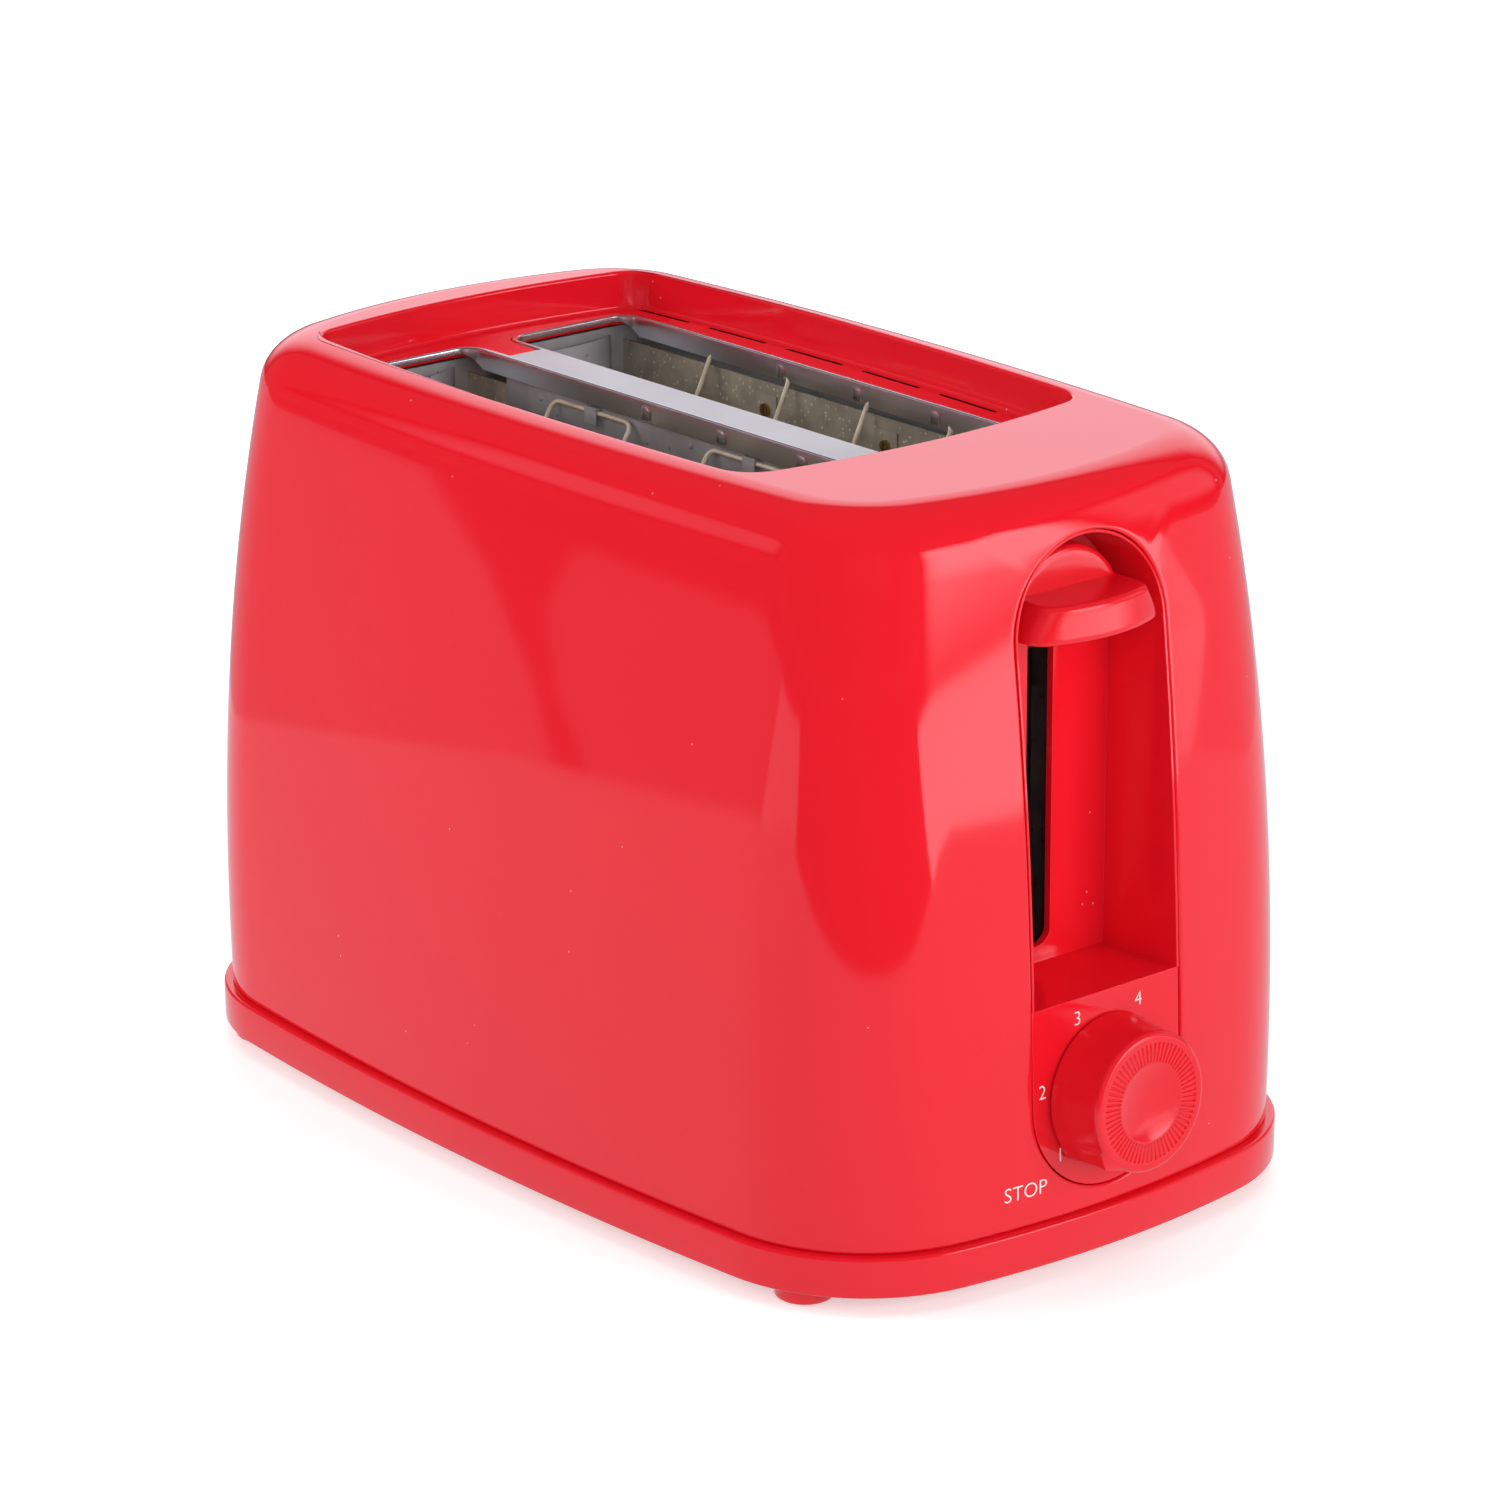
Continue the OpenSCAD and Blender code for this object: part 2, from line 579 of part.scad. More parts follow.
// The return spring, a coil from the keeper shelf up to the top bracket
spring_r = 3.6;
spring_wire = 0.9;
spring_turns = 16;
spring_z1 = bracket_z - spring_wire / 2;
spring_z0 = keeper_z + 2 + steel_t + spring_wire / 2;
module return_spring() {
    steps = 12;
    sides = 6;
    count = spring_turns * steps;
    rings = [for (i = [0:count]) let (t = 360 * i / steps, z = spring_z0 + (spring_z1 - spring_z0) * i / count)
        for (k = [0:sides - 1]) let (w = 360 * k / sides, r = spring_r + spring_wire / 2 * cos(w))
            [r * cos(t), r * sin(t), z + spring_wire / 2 * sin(w)]];
    color("lightsteelblue") at_body() translate([rod_x, spring_y, 0])
        polyhedron(rings, concat([[for (k = [0:sides - 1]) k]],
            [[for (k = [sides - 1:-1:0]) count * sides + k]],
            [for (i = [0:count - 1]) for (k = [0:sides - 1]) let (a = i * sides, m = (k + 1) % sides)
                [a + k, a + sides + k, a + m]],
            [for (i = [0:count - 1]) for (k = [0:sides - 1]) let (a = i * sides, m = (k + 1) % sides)
                [a + m, a + sides + k, a + sides + m]]));
}

module carriage() {
    bush_z = lever_z - bush_h + 2;
    tab_z = lever_z + 1;
    color("silver") at_body() difference() {
        union() {
            // crossbar that carries the racks, and the upright to the lever
            block(carriage_x, carriage_x + steel_t, -slot_y - 6, slot_y + 6, rack_z - 3, rack_z + rack_h + 3);
            block(carriage_x, carriage_x + steel_t, -7, rod_y + 6, rack_z, lever_z + 2);
            // top shelf, bush on the guide rod, and the tab to the lever
            block(carriage_x, rod_x + 7, -7, rod_y + 6, lever_z + 2 - steel_t, lever_z + 2);
            post(rod_x, rod_y, bush_r, bush_z, lever_z + 2);
            block(rod_x, recess_x + 1, -arm_t / 2, arm_t / 2, lever_z + 2 - steel_t, lever_z + 9);
            // shelf for the keeper, and for the foot of the return spring
            block(carriage_x, keeper_x + 6, spring_y - 5, 9, keeper_z + 2, keeper_z + 2 + steel_t);
        }
        post(rod_x, rod_y, rod_d / 2 + run_gap, bush_z - 1, lever_z + 3);
    }
}

module lever_handle() {
    bulge = 5;
    half = paddle_w / 2;
    r = (half * half + bulge * bulge) / (2 * bulge);
    front = recess_x + paddle_reach;
    color("crimson") at_body() difference() {
        union() {
            intersection() {
                along_z(lever_z, lever_z + paddle_h) intersection() {
                    translate([front - r, 0]) circle(r, $fn = 96);
                    translate([recess_x + 1, -half]) square([paddle_reach, 2 * half]);
                }
                along_x(recess_x + 1, front) polygon([[-half, lever_z], [half, lever_z],
                    [half - 4, lever_z + paddle_h], [-half + 4, lever_z + paddle_h]]);
            }
            intersection() {
                along_x(recess_x + 1, recess_x + 10) translate([0, lever_z]) circle(arch_r - 6);
                block(recess_x, recess_x + 11, -arch_r, arch_r, lever_z, body_h);
            }
            block(recess_x - panel_wall - 4, recess_x + 1.5, -3, 3, lever_z + 1, lever_z + 10);
        }
        block(recess_x - 10, recess_x + 1, -arm_t / 2, arm_t / 2, lever_z - 1, lever_z + 9);
    }
}

module keeper_plate() {
    color("gray") at_body() block(keeper_x - 6, keeper_x + 6, -8, 8, keeper_z, keeper_z + 2);
}

// One bread rack: a strip on edge through both end plates, and cross wires that hold the bread
module bread_rack(side) {
    x0 = chamber_x0 - plate_t - 3;
    first = chamber_x0 + 10;
    count = floor((chamber_x1 - 10 - first) / rack_pitch);
    color("silver") at_body() translate([0, side * slot_y, 0]) {
        block(x0, carriage_x, -0.5, 0.5, rack_z, rack_z + rack_h - 1.2);
        for (i = [0:count])
            bar([first + i * rack_pitch, -rack_reach, rack_z + rack_h - 1.2],
                [first + i * rack_pitch, rack_reach, rack_z + rack_h - 1.2], 2);
    }
}

module magnet_yoke() {
    color("gray") at_body() {
        block(keeper_x - 5, keeper_x + 5, -10, 10, base_top, base_top + 2.5);
        for (y = [-8.5, 8.5]) block(keeper_x - 5, keeper_x + 5, y - 1.5, y + 1.5, base_top, magnet_top);
        post(keeper_x, 0, 3, base_top, magnet_top);
    }
}
module magnet_coil() {
    color("peru") at_body() difference() {
        post(keeper_x, 0, 6, base_top + 2.5, magnet_top - 3);
        post(keeper_x, 0, 3, base_top, magnet_top);
    }
}

module circuit_board() {
    color("darkolivegreen") at_body() at_dial() translate([0, 0, board_s - board_t]) difference() {
        translate([-board_h / 2, -board_w / 2, 0]) cube([board_h, board_w, board_t]);
        for (x = [-hole_x, hole_x], y = [-hole_y, hole_y]) translate([x, y, -1]) cylinder(h = 4, r = 1.2);
        for (x = [-board_h / 2, board_h / 2], y = [-board_w / 2, board_w / 2])
            translate([x, y, 0]) rotate(45) cube(board_cut, center = true);
    }
}
module board_parts() {
    color("black") at_body() at_dial() translate([0, 0, board_s - board_t]) {
        translate([2, -12, -3]) cube([8, 6, 3]);
        translate([-8, 4, -4]) cube([5, 9, 4]);
        for (y = [-4, 2]) translate([-4, y, -7]) cylinder(h = 7, r = 2.2);
    }
}
module board_screws() {
    color("silver") at_body() at_dial() for (x = [-hole_x, hole_x], y = [-hole_y, hole_y])
        translate([x, y, board_s - board_t]) {
            translate([0, 0, -1.6]) cylinder(h = 1.6, r = 2.1);
            cylinder(h = board_t + 6, r = 1);
        }
}
module dial_pot() {
    color("dimgray") at_body() at_dial() translate([0, 0, board_s]) difference() {
        union() {
            cylinder(h = pot_l, r = pot_r);
            cylinder(h = pot_l + 5, r = shaft_d / 2 + 1.5);
        }
        translate([0, 0, 2]) cylinder(h = pot_l + 5, r = shaft_d / 2 + run_gap);
    }
}
module dial_shaft() {
    color("lightgray") at_body() at_dial()
        translate([0, 0, board_s + 2.2]) cylinder(h = knob_gap + 10 - board_s - 2.2, r = shaft_d / 2);
}

module browning_knob() {
    color("firebrick") at_body() at_dial() difference() {
        union() {
            translate([0, 0, knob_gap]) rotate_extrude($fn = 96) polygon([[0, 0], [knob_r + knob_flare, 0],
                [knob_r + knob_flare * 0.4, 2], [knob_r, knob_l - 1], [knob_r - 1, knob_l],
                [knob_r - 6.5, knob_l], [knob_r - 7.6, knob_l - 0.8], [0, knob_l - 2]]);
            // pointer ridge, turned to the first mark on the dial
            rotate([0, 0, pointer_turn]) translate([knob_r - 1, 0, knob_gap]) rotate([0, 0, 45])
                translate([-1.6, -1.6, 0]) cube([3.2, 3.2, knob_l - 2]);
        }
        translate([0, 0, knob_gap - 1]) cylinder(h = 11, r = shaft_d / 2);
    }
}
// Local -X is up on the dial, and marks run clockwise from here
pointer_turn = 180 + 130;

module switch_block() {
    color("black") at_body() block(rod_x - 8, rod_x + 6, -slot_y - 4, -slot_y + 6, base_top, rack_low - 10);
}
module switch_leaves() {
    color("orange") at_body() for (x = [rod_x - 6, rod_x + 2])
        block(x, x + 0.4, -slot_y - 3, -slot_y + 5, rack_low - 10, rack_low - 3);
}

module crumb_tray() {
    half = tray_w / 2;
    color("silver") at_body() difference() {
        block(-half_l + 3, -half_l + 3 + tray_l, -half, half, tray_z, tray_z + tray_h);
        block(-half_l + 3 + tray_t, -half_l + 3 + tray_l - tray_t, -half + tray_t, half - tray_t,
            tray_z + tray_t, tray_z + tray_h + 1);
    }
}
module tray_grip() {
    half = tray_w / 2;
    color("crimson") at_body() intersection() {
        block(-half_l - band_lip - 1, -half_l + 3, -half, half, tray_z, tray_z + tray_h);
        along_z(foot_h, seam_z) flat_outline(seam_z, -band_lip);
    }
}

module cord_gland() {
    color("black") at_body() difference() {
        union() {
            post(gland_x, gland_y, gland_r, foot_h, base_top + 6);
            post(gland_x, gland_y, gland_r + 2.5, base_top + 2, base_top + 4);
        }
        post(gland_x, gland_y, cord_r, foot_h - 1, base_top + 7);
    }
}
module base_screws() {
    color("dimgray") at_body() for (x = [-boss_x, boss_x], y = [-boss_y, boss_y]) {
        post(x, y, 2.8, foot_h + 0.3, foot_h + 2);
        post(x, y, screw_r, foot_h + 1, boss_z + 12);
    }
}

housing();
base();
control_panel();
slot_frame();
front_plate();
rear_plate();
heat_shield(-1);  // heat_shield_near
heat_shield(1);  // heat_shield_far
mica(-1, outer_card_y);  // mica_outer_near
mica(-1, inner_card_y);  // mica_inner_near
mica(1, inner_card_y);  // mica_inner_far
mica(1, outer_card_y);  // mica_outer_far
ribbon(-1, outer_card_y - 0.25);  // ribbon_outer_near
ribbon(-1, inner_card_y + mica_t);  // ribbon_inner_near
ribbon(1, inner_card_y + mica_t);  // ribbon_inner_far
ribbon(1, outer_card_y - 0.25);  // ribbon_outer_far
guards(-1, outer_guard_y, -1);  // guards_outer_near
guards(-1, inner_guard_y, 1);  // guards_inner_near
guards(1, inner_guard_y, 1);  // guards_inner_far
guards(1, outer_guard_y, -1);  // guards_outer_far
guard_rail(-1);  // guard_rail_near
guard_rail(1);  // guard_rail_far
mica_eyelets();
top_bracket();
guide_rod();
return_spring();
carriage();
lever_handle();
keeper_plate();
bread_rack(-1);  // bread_rack_near
bread_rack(1);  // bread_rack_far
magnet_yoke();
magnet_coil();
circuit_board();
board_parts();
dial_pot();
dial_shaft();
browning_knob();
switch_block();
switch_leaves();
crumb_tray();
tray_grip();
cord_gland();
base_screws();
board_screws();
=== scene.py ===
import bpy
import bmesh
import json
from math import sin, cos, tan, pi, radians, sqrt, atan2, asin
from mathutils import Vector, Matrix


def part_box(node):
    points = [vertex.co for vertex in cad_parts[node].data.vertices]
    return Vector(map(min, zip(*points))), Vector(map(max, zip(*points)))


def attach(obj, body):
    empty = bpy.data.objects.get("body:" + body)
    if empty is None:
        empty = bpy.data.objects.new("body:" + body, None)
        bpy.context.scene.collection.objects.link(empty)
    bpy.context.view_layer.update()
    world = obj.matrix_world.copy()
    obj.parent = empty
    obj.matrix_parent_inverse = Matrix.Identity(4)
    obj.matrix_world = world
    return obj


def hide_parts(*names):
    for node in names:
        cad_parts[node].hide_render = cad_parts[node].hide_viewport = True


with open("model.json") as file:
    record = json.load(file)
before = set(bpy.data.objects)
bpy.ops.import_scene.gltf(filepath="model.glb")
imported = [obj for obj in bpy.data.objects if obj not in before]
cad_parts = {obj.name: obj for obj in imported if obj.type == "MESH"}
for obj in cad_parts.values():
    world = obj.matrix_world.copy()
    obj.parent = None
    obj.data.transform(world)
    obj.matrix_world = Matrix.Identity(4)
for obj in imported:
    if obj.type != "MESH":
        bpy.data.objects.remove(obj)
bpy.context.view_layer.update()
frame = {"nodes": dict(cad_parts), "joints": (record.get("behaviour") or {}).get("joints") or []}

mm = 0.001
cadNodes = frame["nodes"]

# sizes that everything shares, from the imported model
shellLow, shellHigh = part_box("housing")
slotLow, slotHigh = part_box("slot_frame")
panelLow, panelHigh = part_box("control_panel")
bandLow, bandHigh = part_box("base")
midX = (shellLow.x + shellHigh.x) / 2      # the body's own middle, the knob shifts it back
seamZ, topZ = shellLow.z, shellHigh.z
floorZ = slotHigh.z
archR = (panelHigh.y - panelLow.y) / 2 + 0.25 * mm
archZ = panelHigh.z + 0.25 * mm - archR
dialZ = 42.1 * mm


def numberedRing(bm, points):
    # a closed ring of vertices, each with its number, ready to be drawn into a skin
    number = bm.verts.layers.int.get("number") or bm.verts.layers.int.new("number")
    verts = []
    for i, point in enumerate(points):
        vert = bm.verts.new(point)
        vert[number] = i
        verts.append(vert)
    return [bm.edges.new((verts[i - 1], verts[i])) for i in range(len(verts))]


def drawRing(bm, edges, points):
    # extrudes the ring and lays the new one on these points
    number = bm.verts.layers.int["number"]
    made = bmesh.ops.extrude_edge_only(bm, edges=edges)["geom"]
    verts = [g for g in made if isinstance(g, bmesh.types.BMVert)]
    for vert in verts:
        vert.co = points[vert[number]]
    fresh = set(verts)
    return [g for g in made if isinstance(g, bmesh.types.BMEdge) and g.verts[0] in fresh
        and g.verts[1] in fresh]


def pushThrough(bm, edges, distance):
    # walls straight through a sheet from the edges of its holes
    made = bmesh.ops.extrude_edge_only(bm, edges=edges)["geom"]
    verts = {g for g in made if isinstance(g, bmesh.types.BMVert)}
    bmesh.ops.translate(bm, vec=(0, 0, distance), verts=list(verts))
    return [g for g in made if isinstance(g, bmesh.types.BMEdge) and g.verts[0] in verts
        and g.verts[1] in verts]


def fillBetween(bm, edges, up):
    bmesh.ops.triangle_fill(bm, use_beauty=True, use_dissolve=False, edges=edges, normal=(0, 0, up))


def ringVerts(edges):
    return list({v for e in edges for v in e.verts})


def roundedLoop(x0, x1, y0, y1, r, z, steps=8):
    points = []
    for cx, cy, start in ((x1 - r, y1 - r, 0), (x0 + r, y1 - r, 90), (x0 + r, y0 + r, 180),
        (x1 - r, y0 + r, 270)):
        for i in range(steps + 1):
            t = radians(start + 90 * i / steps)
            points.append(Vector((cx + r * cos(t), cy + r * sin(t), z)))
    return points


def circleLoop(cx, cy, r, z, steps=24):
    return [Vector((cx + r * cos(2 * pi * i / steps), cy + r * sin(2 * pi * i / steps), z))
        for i in range(steps)]


def addBlock(bm, x0, x1, y0, y1, z0, z1, bevel=0.0, segments=2):
    made = bmesh.ops.create_cube(bm, size=1.0)["verts"]
    bmesh.ops.scale(bm, vec=(x1 - x0, y1 - y0, z1 - z0), verts=made)
    bmesh.ops.translate(bm, vec=((x0 + x1) / 2, (y0 + y1) / 2, (z0 + z1) / 2), verts=made)
    if bevel:
        edges = list({e for v in made for e in v.link_edges})
        bmesh.ops.bevel(bm, geom=edges, offset=bevel, segments=segments, profile=0.5, affect="EDGES",
            material=-1)


def addTube(bm, path, radius, sides=10):
    # a round wire along a path, with its ends closed
    side = None
    edges = None
    for i, point in enumerate(path):
        ahead = path[min(i + 1, len(path) - 1)] - path[max(i - 1, 0)]
        ahead.normalize()
        if side is None:
            side = ahead.orthogonal().normalized()
        side = (side - ahead * side.dot(ahead)).normalized()
        across = ahead.cross(side)
        ring = [point + radius * (side * cos(2 * pi * k / sides) + across * sin(2 * pi * k / sides))
            for k in range(sides)]
        if edges is None:
            edges = numberedRing(bm, ring)
            bmesh.ops.contextual_create(bm, geom=edges)
        else:
            edges = drawRing(bm, edges, ring)
    bmesh.ops.contextual_create(bm, geom=edges)


def bentPath(corners, radius, steps=6):
    # straight runs with a round bend at every inner corner
    path = [corners[0]]
    for before, here, after in zip(corners, corners[1:], corners[2:]):
        back = (before - here).normalized()
        on = (after - here).normalized()
        half = back.angle(on) / 2
        reach = min(radius / tan(half), 0.45 * (before - here).length, 0.45 * (after - here).length)
        r = reach * tan(half)
        centre = here + (back + on).normalized() * (r / sin(half))
        a = here + back * reach - centre
        axis = on.cross(back).normalized()
        swing = pi - 2 * half
        for i in range(steps + 1):
            path.append(centre + Matrix.Rotation(swing * i / steps, 3, axis) @ a)
    path.append(corners[-1])
    return path


def makePiece(bm, name, material, body="shell", sharp=35, stands=(), shift=True, weld=True):
    if weld:
        bmesh.ops.remove_doubles(bm, verts=bm.verts, dist=1e-6)
    bmesh.ops.recalc_face_normals(bm, faces=bm.faces)
    mesh = bpy.data.meshes.new(name)
    bm.to_mesh(mesh)
    bm.free()
    if shift:
        mesh.transform(Matrix.Translation((midX, 0, 0)))
    mesh.shade_smooth()
    mesh.set_sharp_from_angle(angle=radians(sharp))
    piece = bpy.data.objects.new(name, mesh)
    bpy.context.scene.collection.objects.link(piece)
    mesh.materials.append(material)
    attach(piece, body)
    if stands:
        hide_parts(*stands)
    return piece


def cutWith(piece, cutter):
    # takes the cutter's shape out of the piece and keeps the result as its mesh
    mesh = bpy.data.meshes.new("cutter")
    cutter.to_mesh(mesh)
    cutter.free()
    mesh.transform(Matrix.Translation((midX, 0, 0)))
    tool = bpy.data.objects.new("cutter", mesh)
    bpy.context.scene.collection.objects.link(tool)
    cut = piece.modifiers.new("cut", "BOOLEAN")
    cut.object = tool
    cut.operation = "DIFFERENCE"
    cut.solver = "EXACT"
    bpy.context.view_layer.update()
    made = bpy.data.meshes.new_from_object(piece.evaluated_get(bpy.context.evaluated_depsgraph_get()))
    piece.modifiers.clear()
    piece.data = made
    bpy.data.objects.remove(tool)
    made.set_sharp_from_angle(angle=radians(30))


def cleanCopy(node):
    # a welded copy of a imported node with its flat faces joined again
    bm = bmesh.new()
    bm.from_mesh(cadNodes[node].data)
    bmesh.ops.remove_doubles(bm, verts=bm.verts, dist=2e-6)
    bmesh.ops.dissolve_limit(bm, angle_limit=radians(0.6), verts=bm.verts, edges=bm.edges,
        use_dissolve_boundaries=False)
    return bm


def softenEdges(piece, width, segments=2, angle=28):
    bevel = piece.modifiers.new("soft edges", "BEVEL")
    bevel.width = width
    bevel.segments = segments
    bevel.limit_method = "ANGLE"
    bevel.angle_limit = radians(angle)
    bevel.harden_normals = False
    bevel.miter_outer = "MITER_ARC"


def newGroup(name, inputs, outputs):
    group = bpy.data.node_groups.new(name, "ShaderNodeTree")
    kinds = {"colour": "NodeSocketColor", "value": "NodeSocketFloat", "vector": "NodeSocketVector"}
    for label, kind, value in inputs:
        socket = group.interface.new_socket(name=label, in_out="INPUT", socket_type=kinds[kind])
        if value is not None:
            socket.default_value = value
    for label, kind in outputs:
        group.interface.new_socket(name=label, in_out="OUTPUT", socket_type=kinds[kind])
    return group, group.nodes.new("NodeGroupInput"), group.nodes.new("NodeGroupOutput")


def addNode(tree, kind, inputs=None, **settings):
    node = tree.nodes.new(kind)
    for key, value in settings.items():
        setattr(node, key, value)
    for key, value in (inputs or {}).items():
        if isinstance(value, bpy.types.NodeSocket):
            tree.links.new(value, node.inputs[key])
        else:
            node.inputs[key].default_value = value
    return node


def driftGroup():
    # slow change of a colour over a moulding, and how matt it is
    group, start, end = newGroup("slowDrift", [("Colour", "colour", None), ("Other", "colour", None),
        ("Size", "value", 20.0), ("Shift", "value", 0.0)], [("Colour", "colour"), ("Mask", "value")])
    place = addNode(group, "ShaderNodeTexCoord")
    noise = addNode(group, "ShaderNodeTexNoise", {"Vector": place.outputs["Object"],
        "Scale": start.outputs["Size"], "Detail": 3.0, "Roughness": 0.55})
    ramp = addNode(group, "ShaderNodeMapRange", {"Value": noise.outputs["Fac"], "From Min": 0.35,
        "From Max": 0.68})
    shifted = addNode(group, "ShaderNodeMath", {0: ramp.outputs["Result"], 1: start.outputs["Shift"]},
        operation="ADD", use_clamp=True)
    mix = addNode(group, "ShaderNodeMix", {"Factor": shifted.outputs[0]}, data_type="RGBA")
    group.links.new(start.outputs["Colour"], mix.inputs[6])
    group.links.new(start.outputs["Other"], mix.inputs[7])
    group.links.new(mix.outputs[2], end.inputs["Colour"])
    group.links.new(shifted.outputs[0], end.inputs["Mask"])
    return group


def speckGroup():
    # small round specks: dust on plastic, flakes in mica, pits in steel
    group, start, end = newGroup("specks", [("Size", "value", 900.0), ("Share", "value", 0.1)],
        [("Mask", "value")])
    place = addNode(group, "ShaderNodeTexCoord")
    cells = addNode(group, "ShaderNodeTexVoronoi", {"Vector": place.outputs["Object"],
        "Scale": start.outputs["Size"]})
    share = addNode(group, "ShaderNodeSeparateColor", {0: cells.outputs["Color"]})
    chosen = addNode(group, "ShaderNodeMath", {0: share.outputs[0], 1: start.outputs["Share"]},
        operation="LESS_THAN")
    near = addNode(group, "ShaderNodeMapRange", {"Value": cells.outputs["Distance"], "From Min": 0.34,
        "From Max": 0.16})
    both = addNode(group, "ShaderNodeMath", {0: chosen.outputs[0], 1: near.outputs["Result"]},
        operation="MULTIPLY")
    group.links.new(both.outputs[0], end.inputs["Mask"])
    return group


def grainGroup():
    # height of a fine grain, drawn out along one direction where Stretch is small
    group, start, end = newGroup("fineGrain", [("Size", "value", 1500.0), ("Stretch", "vector", (1, 1, 1))],
        [("Height", "value")])
    place = addNode(group, "ShaderNodeTexCoord")
    lay = addNode(group, "ShaderNodeVectorMath", {0: place.outputs["Object"], 1: start.outputs["Stretch"]},
        operation="MULTIPLY")
    noise = addNode(group, "ShaderNodeTexNoise", {"Vector": lay.outputs[0], "Scale": start.outputs["Size"],
        "Detail": 4.0, "Roughness": 0.6})
    group.links.new(noise.outputs["Fac"], end.inputs["Height"])
    return group


slowDrift, specks, fineGrain = driftGroup(), speckGroup(), grainGroup()


def placeGroup(tree, group, inputs):
    node = tree.nodes.new("ShaderNodeGroup")
    node.node_tree = group
    for key, value in inputs.items():
        if isinstance(value, bpy.types.NodeSocket):
            tree.links.new(value, node.inputs[key])
        else:
            node.inputs[key].default_value = value
    return node


def makeFinish(name, colour, other, rough, metal=0.0, drift=18.0, grain=1500.0, stretch=(1, 1, 1),
        grainDepth=0.00002, speck=None, speckShare=0.05, speckSize=900.0, coat=0.0, ior=1.5,
        roughSpread=0.04, shift=0.0):
    # one finish: colour drift, specks, a roughness that follows the drift, and a fine grain as bump
    material = bpy.data.materials.new(name)
    material.use_nodes = True
    tree = material.node_tree
    shader = tree.nodes["Principled BSDF"]
    shader.inputs["Metallic"].default_value = metal
    shader.inputs["IOR"].default_value = ior
    shader.inputs["Coat Weight"].default_value = coat
    shader.inputs["Coat Roughness"].default_value = 0.03
    body = placeGroup(tree, slowDrift, {"Colour": (*colour, 1), "Other": (*other, 1), "Size": drift,
        "Shift": shift})
    last = body.outputs["Colour"]
    if speck:
        dots = placeGroup(tree, specks, {"Size": speckSize, "Share": speckShare})
        mix = addNode(tree, "ShaderNodeMix", {"Factor": dots.outputs["Mask"]}, data_type="RGBA")
        tree.links.new(last, mix.inputs[6])
        mix.inputs[7].default_value = (*speck, 1)
        last = mix.outputs[2]
    tree.links.new(last, shader.inputs["Base Color"])
    spread = addNode(tree, "ShaderNodeMapRange", {"Value": body.outputs["Mask"], "To Min": rough,
        "To Max": rough + roughSpread})
    tree.links.new(spread.outputs["Result"], shader.inputs["Roughness"])
    height = placeGroup(tree, fineGrain, {"Size": grain, "Stretch": stretch})
    bump = addNode(tree, "ShaderNodeBump", {"Height": height.outputs["Height"], "Distance": grainDepth,
        "Strength": 1.0})
    tree.links.new(bump.outputs["Normal"], shader.inputs["Normal"])
    return material


redGloss = makeFinish("redGloss", (0.80, 0.0095, 0.021), (0.775, 0.0075, 0.018), 0.06, drift=9.0, grain=230.0,
    grainDepth=0.000004, speck=(0.86, 0.30, 0.32), speckShare=0.0005, speckSize=1100.0, roughSpread=0.03)
redSatin = makeFinish("redSatin", (0.79, 0.0095, 0.020), (0.75, 0.0075, 0.017), 0.15, drift=25.0, grain=900.0,
    grainDepth=0.00002, roughSpread=0.06)
brightSteel = makeFinish("brightSteel", (0.86, 0.85, 0.87), (0.76, 0.75, 0.78), 0.17, metal=1.0, drift=60.0,
    grain=900.0, stretch=(0.03, 1, 1), grainDepth=0.000005, roughSpread=0.08)
satinBar = makeFinish("satinBar", (0.54, 0.525, 0.56), (0.50, 0.485, 0.52), 0.42, metal=0.35, drift=30.0,
    grain=1400.0, stretch=(0.02, 1, 1), grainDepth=0.000015, roughSpread=0.08)
sheetSteel = makeFinish("sheetSteel", (0.62, 0.62, 0.64), (0.46, 0.46, 0.48), 0.34, metal=0.55, drift=70.0,
    grain=1100.0, stretch=(1, 1, 0.05), grainDepth=0.00003, roughSpread=0.2, speck=(0.25, 0.24, 0.24),
    speckShare=0.05, speckSize=700.0)
micaBoard = makeFinish("micaBoard", (0.37, 0.32, 0.25), (0.23, 0.20, 0.16), 0.55, drift=110.0, grain=900.0,
    grainDepth=0.00008, speck=(0.55, 0.49, 0.38), speckShare=0.35, speckSize=750.0, roughSpread=0.2)
heatWire = makeFinish("heatWire", (0.86, 0.78, 0.62), (0.62, 0.53, 0.40), 0.32, metal=0.35, drift=160.0,
    grain=2500.0, grainDepth=0.00001, roughSpread=0.15)
ribbonMetal = makeFinish("ribbonMetal", (0.26, 0.23, 0.21), (0.16, 0.14, 0.14), 0.45, metal=0.8, drift=120.0,
    roughSpread=0.2)
brassMetal = makeFinish("brassMetal", (0.70, 0.47, 0.16), (0.52, 0.33, 0.11), 0.25, metal=1.0, drift=200.0,
    roughSpread=0.2)
plainSteel = makeFinish("plainSteel", (0.58, 0.58, 0.60), (0.42, 0.42, 0.44), 0.28, metal=1.0, drift=90.0,
    roughSpread=0.15)
copperCoil = makeFinish("copperCoil", (0.62, 0.24, 0.09), (0.45, 0.15, 0.06), 0.32, metal=0.9, drift=150.0,
    grain=900.0, stretch=(0.05, 0.05, 3), grainDepth=0.0003, roughSpread=0.1)
greenBoard = makeFinish("greenBoard", (0.05, 0.17, 0.07), (0.03, 0.11, 0.05), 0.30, drift=80.0,
    roughSpread=0.15)
# painted shade: a deep red-black finish for the walls of the air slits; it stands in for the shade inside
# them, not the moulding's own colour
slitPaintedShade = makeFinish("slitPaintedShade", (0.10, 0.004, 0.006), (0.06, 0.003, 0.004), 0.5, drift=60.0,
    roughSpread=0.1)
